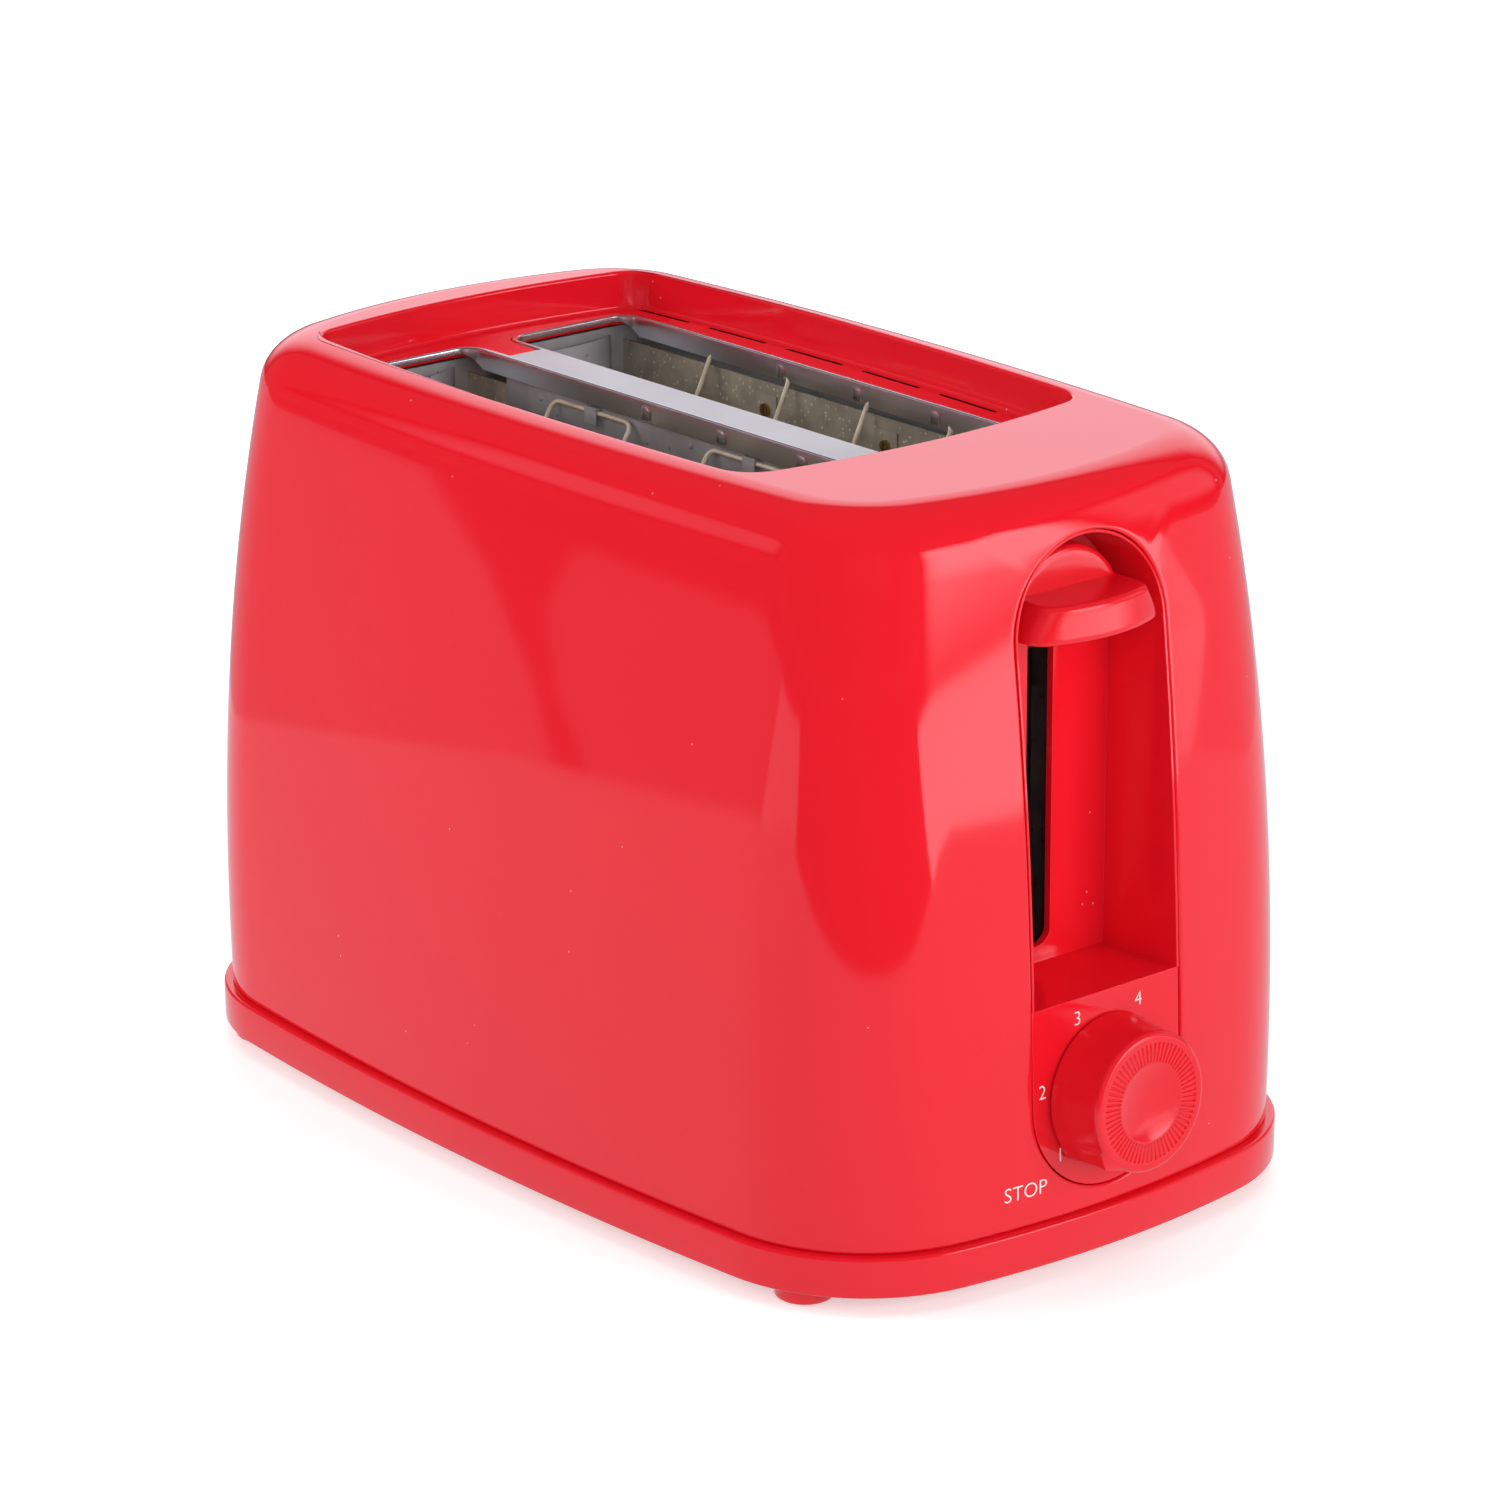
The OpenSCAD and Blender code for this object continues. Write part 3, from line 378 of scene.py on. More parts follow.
blackPlastic = makeFinish("blackPlastic", (0.025, 0.025, 0.027), (0.04, 0.04, 0.042), 0.45, drift=60.0,
    grain=1800.0, grainDepth=0.00006, roughSpread=0.15)
blackRubber = makeFinish("blackRubber", (0.03, 0.03, 0.03), (0.045, 0.043, 0.042), 0.7, drift=60.0,
    grain=1500.0, grainDepth=0.00008, roughSpread=0.1)
whiteInk = makeFinish("whiteInk", (0.86, 0.84, 0.84), (0.80, 0.76, 0.76), 0.4, drift=300.0, grain=3000.0,
    grainDepth=0.00001, roughSpread=0.15)
print("finishes ready")

shell = {
    "halfLength": (shellHigh.x - shellLow.x) / 2,
    "halfWidth": (shellHigh.y - shellLow.y) / 2,
    "endTaper": 12.6 * mm,
    "sideTaper": 14.9 * mm,
    "taperCurve": 2.19,
    "endBow": (13.6 * mm, 13.2 * mm),        # at the seam, at the deck
    "sideBow": (9.2 * mm, 6.2 * mm),
    "corner": (41.5 * mm, 29.4 * mm),
    "shoulder": 11.4 * mm,
    "wall": 2.5 * mm,
    "windowHalf": 28 * mm,                    # the straight mesh patch around the arch
    "windowLow": seamZ + 2.2 * mm,
    "archRim": 0.8 * mm,
}
deck = {
    "rearRim": 19.7 * mm,
    "frontRim": 50.5 * mm,
    "sideRim": 12.4 * mm,
    "corner": 10 * mm,
    "endBow": 6.6 * mm,
    "sideBow": 3.5 * mm,
    "rim": 0.8 * mm,                          # rounding at the top of the opening
    "cove": 1.0 * mm,                         # rounding at its foot
    "draft": 0.3 * mm,
    "slitLength": 21.5 * mm,
    "slitWidth": 1.1 * mm,
    "slitPitch": 29.2 * mm,
    "slitInset": 2.7 * mm,
    "slitCount": 6,
}
shell["shoulderZ"] = topZ - shell["shoulder"]
deckLow = -(shell["halfLength"] - shell["endTaper"]) + deck["rearRim"]
deckHigh = shell["halfLength"] - shell["endTaper"] - deck["frontRim"]
deck["midX"] = (deckLow + deckHigh) / 2
deck["halfLength"] = (deckHigh - deckLow) / 2
deck["halfWidth"] = shell["halfWidth"] - shell["sideTaper"] - deck["sideRim"]


def quarterOutline(a, b, endBow, sideBow, corner):
    # an end arc, a corner arc and a side arc that meet smoothly; the end arc keeps fixed places across
    endR = (b * b + endBow * endBow) / (2 * endBow)
    sideR = (a * a + sideBow * sideBow) / (2 * sideBow)
    endC, sideC = Vector((a - endR, 0)), Vector((0, b - sideR))
    line = sideC - endC
    d = line.length
    along = ((endR - corner) ** 2 - (sideR - corner) ** 2 + d * d) / (2 * d)
    off = sqrt((endR - corner) ** 2 - along ** 2)
    cornerC = endC + line * (along / d) + Vector((-line.y, line.x)) * (off / d)
    t1 = atan2(cornerC.y - endC.y, cornerC.x - endC.x)
    t2 = atan2(cornerC.y - sideC.y, cornerC.x - sideC.x)
    fixed = [asin(shell["windowHalf"] * i / 8 / endR) for i in range(9)]
    spread = [fixed[-1] + (t1 - fixed[-1]) * i / 4 for i in range(1, 4)]
    points = [endC + endR * Vector((cos(t), sin(t))) for t in fixed + spread]
    points += [cornerC + corner * Vector((cos(t1 + (t2 - t1) * i / 16), sin(t1 + (t2 - t1) * i / 16)))
        for i in range(16)]
    points += [sideC + sideR * Vector((cos(t2 + (pi / 2 - t2) * i / 20), sin(t2 + (pi / 2 - t2) * i / 20)))
        for i in range(21)]
    return points


def wholeOutline(quarter, z, shiftX=0.0):
    last = len(quarter) - 1
    points = [(p.x, p.y) for p in quarter]
    points += [(-p.x, p.y) for p in reversed(quarter[:last])]
    points += [(-p.x, -p.y) for p in quarter[1:]]
    points += [(p.x, -p.y) for p in reversed(quarter[1:last])]
    return [Vector((x + shiftX, y, z)) for x, y in points]


def bodySizes(z, inset):
    u = (z - seamZ) / (topZ - seamZ)
    k = max(0.0, u) ** shell["taperCurve"]
    a = shell["halfLength"] - shell["endTaper"] * k - inset
    b = shell["halfWidth"] - shell["sideTaper"] * k - inset
    between = [low + (high - low) * u for low, high in (shell["endBow"], shell["sideBow"], shell["corner"])]
    return a, b, between[0], between[1], between[2] - inset


def bodyRing(z, inset):
    return wholeOutline(quarterOutline(*bodySizes(z, inset)), z)


def deckRing(z, grow):
    quarter = quarterOutline(deck["halfLength"] + grow, deck["halfWidth"] + grow, deck["endBow"],
        deck["sideBow"], deck["corner"] + grow)
    return wholeOutline(quarter, z, deck["midX"])


def endSurface(y, z, depth=0.0):
    # where the front end's skin stands at this place across and height
    inset = depth
    if z > shell["shoulderZ"]:
        r = shell["shoulder"] - depth
        rise = min(1.0, (z - shell["shoulderZ"]) / r)
        inset = depth + r * (1 - sqrt(1 - rise * rise))
    a, b, bow = bodySizes(z, inset)[:3]
    r = (b * b + bow * bow) / (2 * bow)
    return a - r + sqrt(r * r - y * y)


def archPoint(y, z, r):
    # the point of an arched outline of radius r that lies nearest to this one
    spineZ = min(max(z, dialZ), archZ)
    way = Vector((y, z - spineZ)).normalized()
    return way.x * r, spineZ + way.y * r


def patchFaces(bm, depth):
    found = []
    for face in bm.faces:
        c = face.calc_center_median()
        if c.x > 0 and abs(c.y) < shell["windowHalf"] and shell["windowLow"] < c.z < shell["patchTop"]:
            if abs(c.x - endSurface(c.y, c.z, depth)) < 0.5 * mm:
                found.append(face)
    return found


def clearPatch(bm, depth):
    # opens the mesh patch around the arch, and numbers the edge that is left
    faces = patchFaces(bm, depth)
    inside = set(faces)
    edges = [e for f in faces for e in f.edges if sum(g in inside for g in e.link_faces) == 1]
    bmesh.ops.delete(bm, geom=faces, context="FACES")
    number = bm.verts.layers.int["number"]
    homes = []
    for i, vert in enumerate(ringVerts(edges)):
        vert[number] = i
        homes.append((vert.co.y, vert.co.z))
    return edges, homes


slot = {
    "x0": deckLow + 10.2 * mm,
    "x1": deckHigh - 10.3 * mm,
    "y0": 6.35 * mm,
    "y1": deck["halfWidth"] - 11.1 * mm,
    "corner": 5 * mm,
    "rim": 1.6 * mm,
    "window": 1.85 * mm,                      # the opening in the floor is this much wider than the slots
    "skirt": 6 * mm,
}
slot["barX0"] = slot["x0"] + 16 * mm
slot["midY"] = (slot["y0"] + slot["y1"]) / 2


def slotOutline(grow, z):
    return roundedLoop(slot["x0"] - grow, slot["x1"] + grow, slot["y0"] - grow, slot["y1"] + grow,
        slot["corner"] + grow, z)


def windowLoop(grow, z):
    # around both slots and the strip between them
    far = slotOutline(grow, z)
    far = far[27:] + far[:27]                 # starts at the front end of the strip
    near = [Vector((p.x, -p.y, z)) for p in reversed(far)]
    x, y = slot["barX0"] - grow, slot["y0"] - grow
    return far + [Vector((x, y, z)), Vector((x, -y, z))] + near


def floorLoops(z):
    # the window for the slots, and the air slits that follow the bowed walls
    loops = [windowLoop(slot["window"], z)]
    bow = deck["sideBow"] / deck["halfLength"] ** 2
    half, w = deck["slitLength"] / 2, deck["slitWidth"] / 2
    for i in range(deck["slitCount"]):
        along = (i - (deck["slitCount"] - 1) / 2) * deck["slitPitch"]
        for side in (-1, 1):
            y = side * (deck["halfWidth"] - deck["slitInset"] - bow * along * along)
            turn = Matrix.Rotation(-side * atan2(2 * bow * along, 1), 3, "Z")
            loop = roundedLoop(-half, half, -w, w, w * 0.98, 0, 4)
            loops.append([turn @ p + Vector((deck["midX"] + along, y, z)) for p in loop])
    return loops


def makeShell():
    s, wall, r = shell, shell["wall"], shell["shoulder"]
    wallZ = [s["windowLow"] + (s["shoulderZ"] - s["windowLow"]) * i / 40 for i in range(41)]
    turns = [radians(10 * i) for i in range(1, 10)]
    s["patchTop"] = s["shoulderZ"] + r * sin(turns[1])
    outside = [bodyRing(seamZ + 0.12 * mm, 0.3 * mm), bodyRing(seamZ + 0.6 * mm, 0)]
    outside += [bodyRing(z, 0) for z in wallZ]
    outside += [bodyRing(s["shoulderZ"] + r * sin(t), r * (1 - cos(t))) for t in turns]
    outside += [bodyRing(topZ, r + 0.1 * mm), deckRing(topZ, deck["rim"] + 0.05 * mm)]
    for t in [radians(15 * i) for i in range(7)]:
        outside.append(deckRing(topZ - deck["rim"] * (1 - cos(t)), deck["rim"] * (1 - sin(t))))
    for t in [radians(18 * i) for i in range(6)]:
        outside.append(deckRing(floorZ + deck["cove"] * (1 - sin(t)),
            -deck["draft"] - deck["cove"] * (1 - cos(t))))
    outside.append(deckRing(floorZ, -deck["draft"] - deck["cove"] - 0.2 * mm))
    inner = r - wall
    inside = [bodyRing(seamZ + 0.6 * mm, wall)] + [bodyRing(z, wall) for z in wallZ]
    inside += [bodyRing(s["shoulderZ"] + inner * sin(t), wall + inner * (1 - cos(t))) for t in turns]
    inside += [deckRing(topZ - wall, wall), deckRing(floorZ - wall, wall - deck["draft"])]

    bm = bmesh.new()
    edges = numberedRing(bm, bodyRing(seamZ, wall - 0.2 * mm))
    footEdges = edges
    for ring in [bodyRing(seamZ, 0.7 * mm)] + outside:
        edges = drawRing(bm, edges, ring)
    topEdges = edges
    edges = footEdges
    for ring in inside:
        edges = drawRing(bm, edges, ring)
    underEdges = edges

    # the arched window: rounded rim, then through the wall to the inner skin
    rimEdges, homes = clearPatch(bm, 0.0)
    rim = s["archRim"]
    steps = [(0.5, None, 0.0), (None, archR + rim + 0.5 * mm, 0.0), (None, archR + rim, 0.0)]
    steps += [(None, archR + rim * (1 - sin(t)), rim * (1 - cos(t)))
        for t in [radians(22.5 * i) for i in range(1, 5)]]
    steps += [(None, archR, wall)]
    for blend, radius, depth in steps:
        ring = []
        for y, z in homes:
            py, pz = archPoint(y, z, radius or archR + rim)
            if blend:
                py, pz = (y + py) / 2, (z + pz) / 2
            ring.append(Vector((endSurface(py, pz) - depth, py, pz)))
        rimEdges = drawRing(bm, rimEdges, ring)
    innerEdges = clearPatch(bm, wall)[0]
    bmesh.ops.bridge_loops(bm, edges=rimEdges + innerEdges)

    # the sunk floor with its openings, top and underside
    holes = [e for loop in floorLoops(floorZ) for e in numberedRing(bm, loop)]
    lowEdges = pushThrough(bm, holes, -wall)
    fillBetween(bm, topEdges + holes, 1)
    fillBetween(bm, underEdges + lowEdges, -1)
    piece = makePiece(bm, "shellMoulding", redGloss, sharp=32, stands=["housing"])
    # painted shade: the side walls of the air slits take the dark finish, so the slits look shaded inside
    piece.data.materials.append(slitPaintedShade)
    for face in piece.data.polygons:
        inSheet = floorZ - wall < face.center.z < floorZ - 0.1 * mm
        bySlits = deck["halfWidth"] - 6 * mm < abs(face.center.y) < deck["halfWidth"] - 1.5 * mm
        if inSheet and bySlits and abs(face.normal.z) < 0.2:
            face.material_index = 1


makeShell()
print("shell made")

base = {
    "lip": 2.1 * mm,
    "footZ": 4 * mm,
    "floorTop": 6.5 * mm,
    "bead": 0.75 * mm,
    "wall": 4.6 * mm,
    "footR": 7.3 * mm,
    "footRound": 1.2 * mm,
    "slitPitch": 16 * mm,
    "slitY": 52.4 * mm,
    "screwR": 3.2 * mm,
}
trayLow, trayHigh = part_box("crumb_tray")
gripLow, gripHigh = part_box("tray_grip")
glandLow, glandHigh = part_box("cord_gland")
screwLow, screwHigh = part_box("base_screws")


def spinFoot(bm, x, y):
    # a foot turned from its outline, joined to the underside
    r, c, z1 = base["footR"], base["footRound"], base["footZ"]
    outline = [(0, 0), (r - c - 1.6 * mm, 0), (r - c, 0)]
    outline += [(r - c * (1 - sin(t)), c * (1 - cos(t))) for t in [radians(22.5 * i) for i in range(1, 5)]]
    outline += [(r, z1 - 0.6 * mm), (r + 0.5 * mm, z1 + 0.4 * mm)]
    verts = [bm.verts.new((x + px, y, pz)) for px, pz in outline]
    edges = [bm.edges.new(pair) for pair in zip(verts, verts[1:])]
    bmesh.ops.spin(bm, geom=verts + edges, cent=(x, y, 0), axis=(0, 0, 1), angle=2 * pi, steps=40,
        use_merge=True, use_duplicate=False)


def bandRing(z, inset):
    # the seam's outline, straight up and down
    return wholeOutline(quarterOutline(*bodySizes(seamZ, inset)), z)


def makeBase():
    lip, bead, thick = base["lip"], base["bead"], base["wall"]
    z0, z1 = base["footZ"], seamZ - 0.02 * mm
    rings = [bandRing(base["floorTop"], thick), bandRing(z1, thick), bandRing(z1, 1.0 * mm)]
    rings.append(bandRing(z1, -lip + bead + 0.3 * mm))
    for t in [radians(18 * i) for i in range(6)]:
        rings.append(bandRing(z1 - bead * (1 - cos(t)), -lip + bead * (1 - sin(t))))
    for t in [radians(18 * i) for i in range(6)]:
        rings.append(bandRing(z0 + bead * (1 - sin(t)), -lip + bead * (1 - cos(t))))
    rings.append(bandRing(z0, -lip + bead + 0.5 * mm))
    bm = bmesh.new()
    edges = numberedRing(bm, rings[0])
    topEdges = edges
    for ring in rings[1:]:
        edges = drawRing(bm, edges, ring)
    bossX, bossY = (screwHigh.x - screwLow.x) / 2 - 2.8 * mm, (screwHigh.y - screwLow.y) / 2 - 2.8 * mm
    loops = [circleLoop(x * bossX, y * bossY, base["screwR"], z0) for x in (-1, 1) for y in (-1, 1)]
    glandX, glandY = (glandLow.x + glandHigh.x) / 2 - midX, (glandLow.y + glandHigh.y) / 2
    loops.append(circleLoop(glandX, glandY, 6.05 * mm, z0))
    for i in range(-3, 5):
        for y in (-base["slitY"], base["slitY"]):
            loops.append(roundedLoop(i * base["slitPitch"] - 1.25 * mm, i * base["slitPitch"] + 1.25 * mm,
                y - 5.5 * mm, y + 5.5 * mm, 1.2 * mm, z0, 4))
    holes = [e for loop in loops for e in numberedRing(bm, loop)]
    highEdges = pushThrough(bm, holes, base["floorTop"] - z0)
    fillBetween(bm, edges + holes, -1)
    fillBetween(bm, topEdges + highEdges, 1)
    piece = makePiece(bm, "baseMoulding", redGloss, sharp=32, stands=["base"])
    cutter = bmesh.new()
    half = (trayHigh.y - trayLow.y) / 2 + 0.4 * mm
    rear = -shell["halfLength"]
    addBlock(cutter, rear - 10 * mm, rear + 12 * mm, -half, half, base["floorTop"] + 0.02 * mm,
        gripHigh.z + 0.4 * mm)
    cutWith(piece, cutter)

    feet = bmesh.new()
    footX = shell["halfLength"] - 32 * mm + lip
    footY = shell["halfWidth"] - 17 * mm + lip
    for x in (-footX, footX):
        for y in (-footY, footY):
            spinFoot(feet, x, y)
    makePiece(feet, "feet", redGloss, sharp=40)

    # each rail is a wall beside the tray with a ledge over its edge
    rails = bmesh.new()
    end, top = trayHigh.x - midX + 8 * mm, trayHigh.z
    for side in (-1, 1):
        low, high = sorted((side * half, side * (half + 2 * mm)))
        addBlock(rails, rear + 13 * mm, end, low, high, base["floorTop"] - 0.3 * mm, top + 1 * mm, 0.3 * mm)
        low, high = sorted((side * (half - 3 * mm), side * (half + 2 * mm)))
        addBlock(rails, rear + 24 * mm, end, low, high, top + 0.4 * mm, top + 2 * mm, 0.3 * mm)
    makePiece(rails, "trayRails", redSatin, sharp=35, weld=False)


def makeTray():
    grip = bmesh.new()
    z0, z1 = gripLow.z + 0.02 * mm, gripHigh.z
    r = 0.8 * mm
    rings = [bandRing(z0, -base["lip"] + r)]
    for t in [radians(30 * i) for i in range(1, 4)]:
        rings.append(bandRing(z0 + r * (1 - cos(t)), -base["lip"] + r * (1 - sin(t))))
    for t in [radians(30 * i) for i in range(4)]:
        rings.append(bandRing(z1 - r * (1 - sin(t)), -base["lip"] + r * (1 - cos(t))))
    edges = numberedRing(grip, rings[0])
    bmesh.ops.contextual_create(grip, geom=edges)
    for ring in rings[1:]:
        edges = drawRing(grip, edges, ring)
    bmesh.ops.contextual_create(grip, geom=edges)
    # keeps only the rear piece between the two sides of the opening
    half = (gripHigh.y - gripLow.y) / 2
    rear = -shell["halfLength"]
    for place, way in (((0, half, 0), (0, 1, 0)), ((0, -half, 0), (0, -1, 0)),
        ((rear + 3 * mm, 0, 0), (1, 0, 0))):
        cut = bmesh.ops.bisect_plane(grip, geom=grip.verts[:] + grip.edges[:] + grip.faces[:], plane_co=place,
            plane_no=way, clear_outer=True)["geom_cut"]
        bmesh.ops.contextual_create(grip, geom=[g for g in cut if isinstance(g, bmesh.types.BMEdge)])
    makePiece(grip, "trayGrip", redGloss, body="tray", sharp=32, stands=["tray_grip"])


makeBase()
makeTray()
print("base and tray made")

panel = {"edge": 0.35 * mm, "widen": 1.3 * mm, "shelfZ": 66 * mm, "depth": 12 * mm}


def makePanel():
    bm = cleanCopy("control_panel")
    # the recess widens a little towards the front, so only a thin edge stands around it
    for vert in bm.verts:
        y, z = vert.co.y, vert.co.z
        up = max(0.0, z - archZ)
        away = sqrt(y * y + up * up)
        inFront = vert.co.x > panelLow.x + panel["depth"] and z > panel["shelfZ"] - 0.1 * mm
        if inFront and archR - 3 * mm < away < archR - 1 * mm:
            vert.co.y += panel["widen"] * y / away
            vert.co.z += panel["widen"] * up / away
    piece = makePiece(bm, "leverPanel", redGloss, sharp=24, stands=["control_panel"],
        shift=False)
    softenEdges(piece, panel["edge"], 3, 40)


makePanel()

frameSheet = {
    "proud": 0.3 * mm,
    "roll": 0.45 * mm,
    "thick": 0.7 * mm,
    "chamfer": (-94.5 * mm, -89 * mm),        # the skirts rise here at their rear ends
    "shallow": 1.5 * mm,
    "tabs": ((-1, -24), (-1, 4.7), (-1, 34.7), (1, -33), (1, -3.6), (1, 25.3), (1, 54)),
}


def slotLoop(side, grow, z, depthAt=None):
    loop = slotOutline(grow, z)
    if side < 0:
        loop = [Vector((p.x, -p.y, p.z)) for p in loop]
    if depthAt:
        for p in loop:
            p.z = z - depthAt(p.x)
    return loop


def skirtDepth(x):
    low, high = frameSheet["chamfer"]
    share = min(1.0, max(0.0, (x - low) / (high - low)))
    return frameSheet["shallow"] + (slot["skirt"] - frameSheet["shallow"]) * share


def makeSlotFrame():
    top = floorZ + frameSheet["proud"]
    roll, thick = frameSheet["roll"], frameSheet["thick"]
    bm = bmesh.new()
    outer = numberedRing(bm, windowLoop(slot["rim"] - 0.25 * mm, top))
    rim = drawRing(bm, outer, windowLoop(slot["rim"], top - 0.3 * mm))
    rim = drawRing(bm, rim, windowLoop(slot["rim"], floorZ - 0.8 * mm))
    inner, under = [], []
    for side in (-1, 1):
        edges = numberedRing(bm, slotLoop(side, roll, top))
        inner += edges
        for t in (30, 60, 90):
            edges = drawRing(bm, edges, slotLoop(side, roll * (1 - sin(radians(t))),
                top - roll * (1 - cos(radians(t)))))
        edges = drawRing(bm, edges, slotLoop(side, 0, top, skirtDepth))
        edges = drawRing(bm, edges, slotLoop(side, 0.25 * mm, top - 0.2 * mm, skirtDepth))
        edges = drawRing(bm, edges, slotLoop(side, thick, top, skirtDepth))
        edges = drawRing(bm, edges, slotLoop(side, thick, floorZ - 0.8 * mm))
        under += edges
    fillBetween(bm, outer + inner, 1)
    fillBetween(bm, rim + under, -1)
    piece = makePiece(bm, "slotFrame", brightSteel, sharp=38, stands=["slot_frame"])
    piece.data.materials.append(satinBar)
    half = slot["y0"] - roll - 0.02 * mm
    for face in piece.data.polygons:
        x, y = face.center.x - midX, face.center.y
        onTop = face.normal.z > 0.9 and face.center.z > top - 0.1 * mm
        if onTop and abs(y) < half and x > slot["barX0"] - 1.6 * mm:
            face.material_index = 1

    tabs = bmesh.new()
    for side, x in frameSheet["tabs"]:
        y = -slot["y0"] if side < 0 else slot["y1"]
        low, high = (y - 0.55 * mm, y + 0.1 * mm)
        x *= mm
        addBlock(tabs, x - 1.5 * mm, x + 1.5 * mm, low, high, floorZ - 4.6 * mm, floorZ - 1.2 * mm, 0.25 * mm)
    makePiece(tabs, "frameTabs", brightSteel, sharp=35, weld=False)


makeSlotFrame()
print("panel and slot frame made")

chamber = {
    "wireR": 0.65 * mm,
    "leg": 31 * mm,
    "pitch": 61 * mm,
    "bend": 2.6 * mm,
    "topZ": slotLow.z - 1.1 * mm,
    "leanDrop": 11 * mm,
    "reach": 7 * mm,
    "lowZ": 27 * mm,
    "innerY": 5.7 * mm,                       # middle of the wires by the inner cards
    "outerY": 45.5 * mm,
    "raise": 3.6 * mm,                        # the outer wires turn over behind the skirts
    "stripY": (4.78 * mm, 5.02 * mm),
    "rivets": (-68, -8.7, 47),
    "hooks": (-45.9, 15.1),
    "patch": 8 * mm,
}


def makeGuards(name, node, side, y, inward, raised=0.0):
    bm = bmesh.new()
    mid = (slot["x0"] + slot["x1"]) / 2
    z0, z1 = chamber["topZ"] + raised, chamber["topZ"] - chamber["leanDrop"]
    low = chamber["lowZ"]
    for i in (-1, 1):
        cx = mid + i * chamber["pitch"] / 2
        a, b = cx - chamber["leg"] / 2, cx + chamber["leg"] / 2
        far = y + inward * chamber["reach"]
        corners = [Vector((a, y, low)), Vector((a, far, low)), Vector((a, far, z1)), Vector((a, y, z0)),
            Vector((b, y, z0)), Vector((b, far, z1)), Vector((b, far, low)), Vector((b, y, low))]
        path = bentPath([Vector((p.x, side * p.y, p.z)) for p in corners], chamber["bend"])
        addTube(bm, path, chamber["wireR"], 10)
    makePiece(bm, name, heatWire, sharp=50, stands=[node])


def makeRail(name, node, side):
    # the steel strip along an inner card, with rivets and the hooks that hold the wires
    bm = bmesh.new()
    near, far = chamber["stripY"]
    low, high = sorted((side * near, side * far))
    x0, x1 = slot["x0"] + 13 * mm, slot["x1"] + 2 * mm
    addBlock(bm, x0, x1, low, high, slotLow.z - 6.5 * mm, slotLow.z + 2.5 * mm, 0.08 * mm)
    for x in chamber["rivets"]:
        made = bmesh.ops.create_uvsphere(bm, u_segments=14, v_segments=8, radius=0.9 * mm)["verts"]
        bmesh.ops.scale(bm, vec=(1, 0.5, 1), verts=made)
        bmesh.ops.translate(bm, vec=(x * mm, side * far, slotLow.z - 2.2 * mm), verts=made)
    for x in chamber["hooks"]:
        low, high = sorted((side * far, side * (far + 1.75 * mm)))
        z = chamber["topZ"]
        addBlock(bm, x * mm - 2.3 * mm, x * mm + 2.3 * mm, low, high, z + 0.68 * mm, z + 1.2 * mm, 0.12 * mm)
        low, high = sorted((side * (far + 1.35 * mm), side * (far + 1.75 * mm)))
        addBlock(bm, x * mm - 2.3 * mm, x * mm + 2.3 * mm, low, high, z - 3.0 * mm, z + 1.0 * mm, 0.12 * mm)
    makePiece(bm, name, sheetSteel, sharp=35, stands=[node], weld=False)


def makePatches():
    # square mica washers under the eyelets of the outer cards
    bm = bmesh.new()
    half = chamber["patch"] / 2
    low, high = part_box("mica_eyelets")
    z = (low.z + high.z) / 2
    for side in (-1, 1):
        for x in (-40.5, 5.5):
            a, b = sorted((side * 45.95 * mm, side * 45.7 * mm))
            addBlock(bm, x * mm - half, x * mm + half, a, b, z - half, z + half, 0.05 * mm)
    makePiece(bm, "micaPatches", micaBoard, sharp=35, weld=False)


def makeEndSheets():
    # bowed satin sheet at the rear end of each slot, split for the bread rack
    bm = bmesh.new()
    half, bulge, low, high = 16.5 * mm, 3.6 * mm, 29 * mm, slotLow.z + 0.3 * mm
    columns = [-half + 2 * half * i / 22 for i in range(23)]
    for side in (-1, 1):
        for part in (columns[:11], columns[12:], columns):
            z0, z1 = (119 * mm, high) if part is columns else (low, 119 * mm)
            line = [Vector((slot["x0"] - 2.9 * mm + bulge * (1 - (c / half) ** 2) - 0.9 * mm,
                side * slot["midY"] + c, z0)) for c in part]
            verts = [bm.verts.new(p) for p in line]
            edges = [bm.edges.new(pair) for pair in zip(verts, verts[1:])]
            made = bmesh.ops.extrude_edge_only(bm, edges=edges)["geom"]
            bmesh.ops.translate(bm, vec=(0, 0, z1 - z0), verts=[g for g in made
                if isinstance(g, bmesh.types.BMVert)])
    piece = makePiece(bm, "slotEndSheets", sheetSteel, sharp=50, weld=False)
    wall = piece.modifiers.new("wall", "SOLIDIFY")
    wall.thickness = 0.5 * mm
    wall.offset = 0


makeGuards("guardsOuterNear", "guards_outer_near", -1, chamber["outerY"], -1, chamber["raise"])
makeGuards("guardsInnerNear", "guards_inner_near", -1, chamber["innerY"], 1)
makeGuards("guardsInnerFar", "guards_inner_far", 1, chamber["innerY"], 1)
makeGuards("guardsOuterFar", "guards_outer_far", 1, chamber["outerY"], -1, chamber["raise"])
makeRail("cardStripNear", "guard_rail_near", -1)
makeRail("cardStripFar", "guard_rail_far", 1)
makePatches()
makeEndSheets()
print("chamber made")

leverLow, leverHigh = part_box("lever_handle")
handle = {
    "half": 19.6 * mm,
    "topHalf": 15.6 * mm,
    "front": leverHigh.x - midX,
    "back": leverHigh.x - midX - 22 * mm,
    "bulge": 5 * mm,
    "cornerR": 5.5 * mm,
    "low": leverLow.z,
    "height": 8.6 * mm,
    "round": 1.5 * mm,
    "domeR": 17.4 * mm,
    "domeFront": 7 * mm,                      # from the dome's back face to its front
}


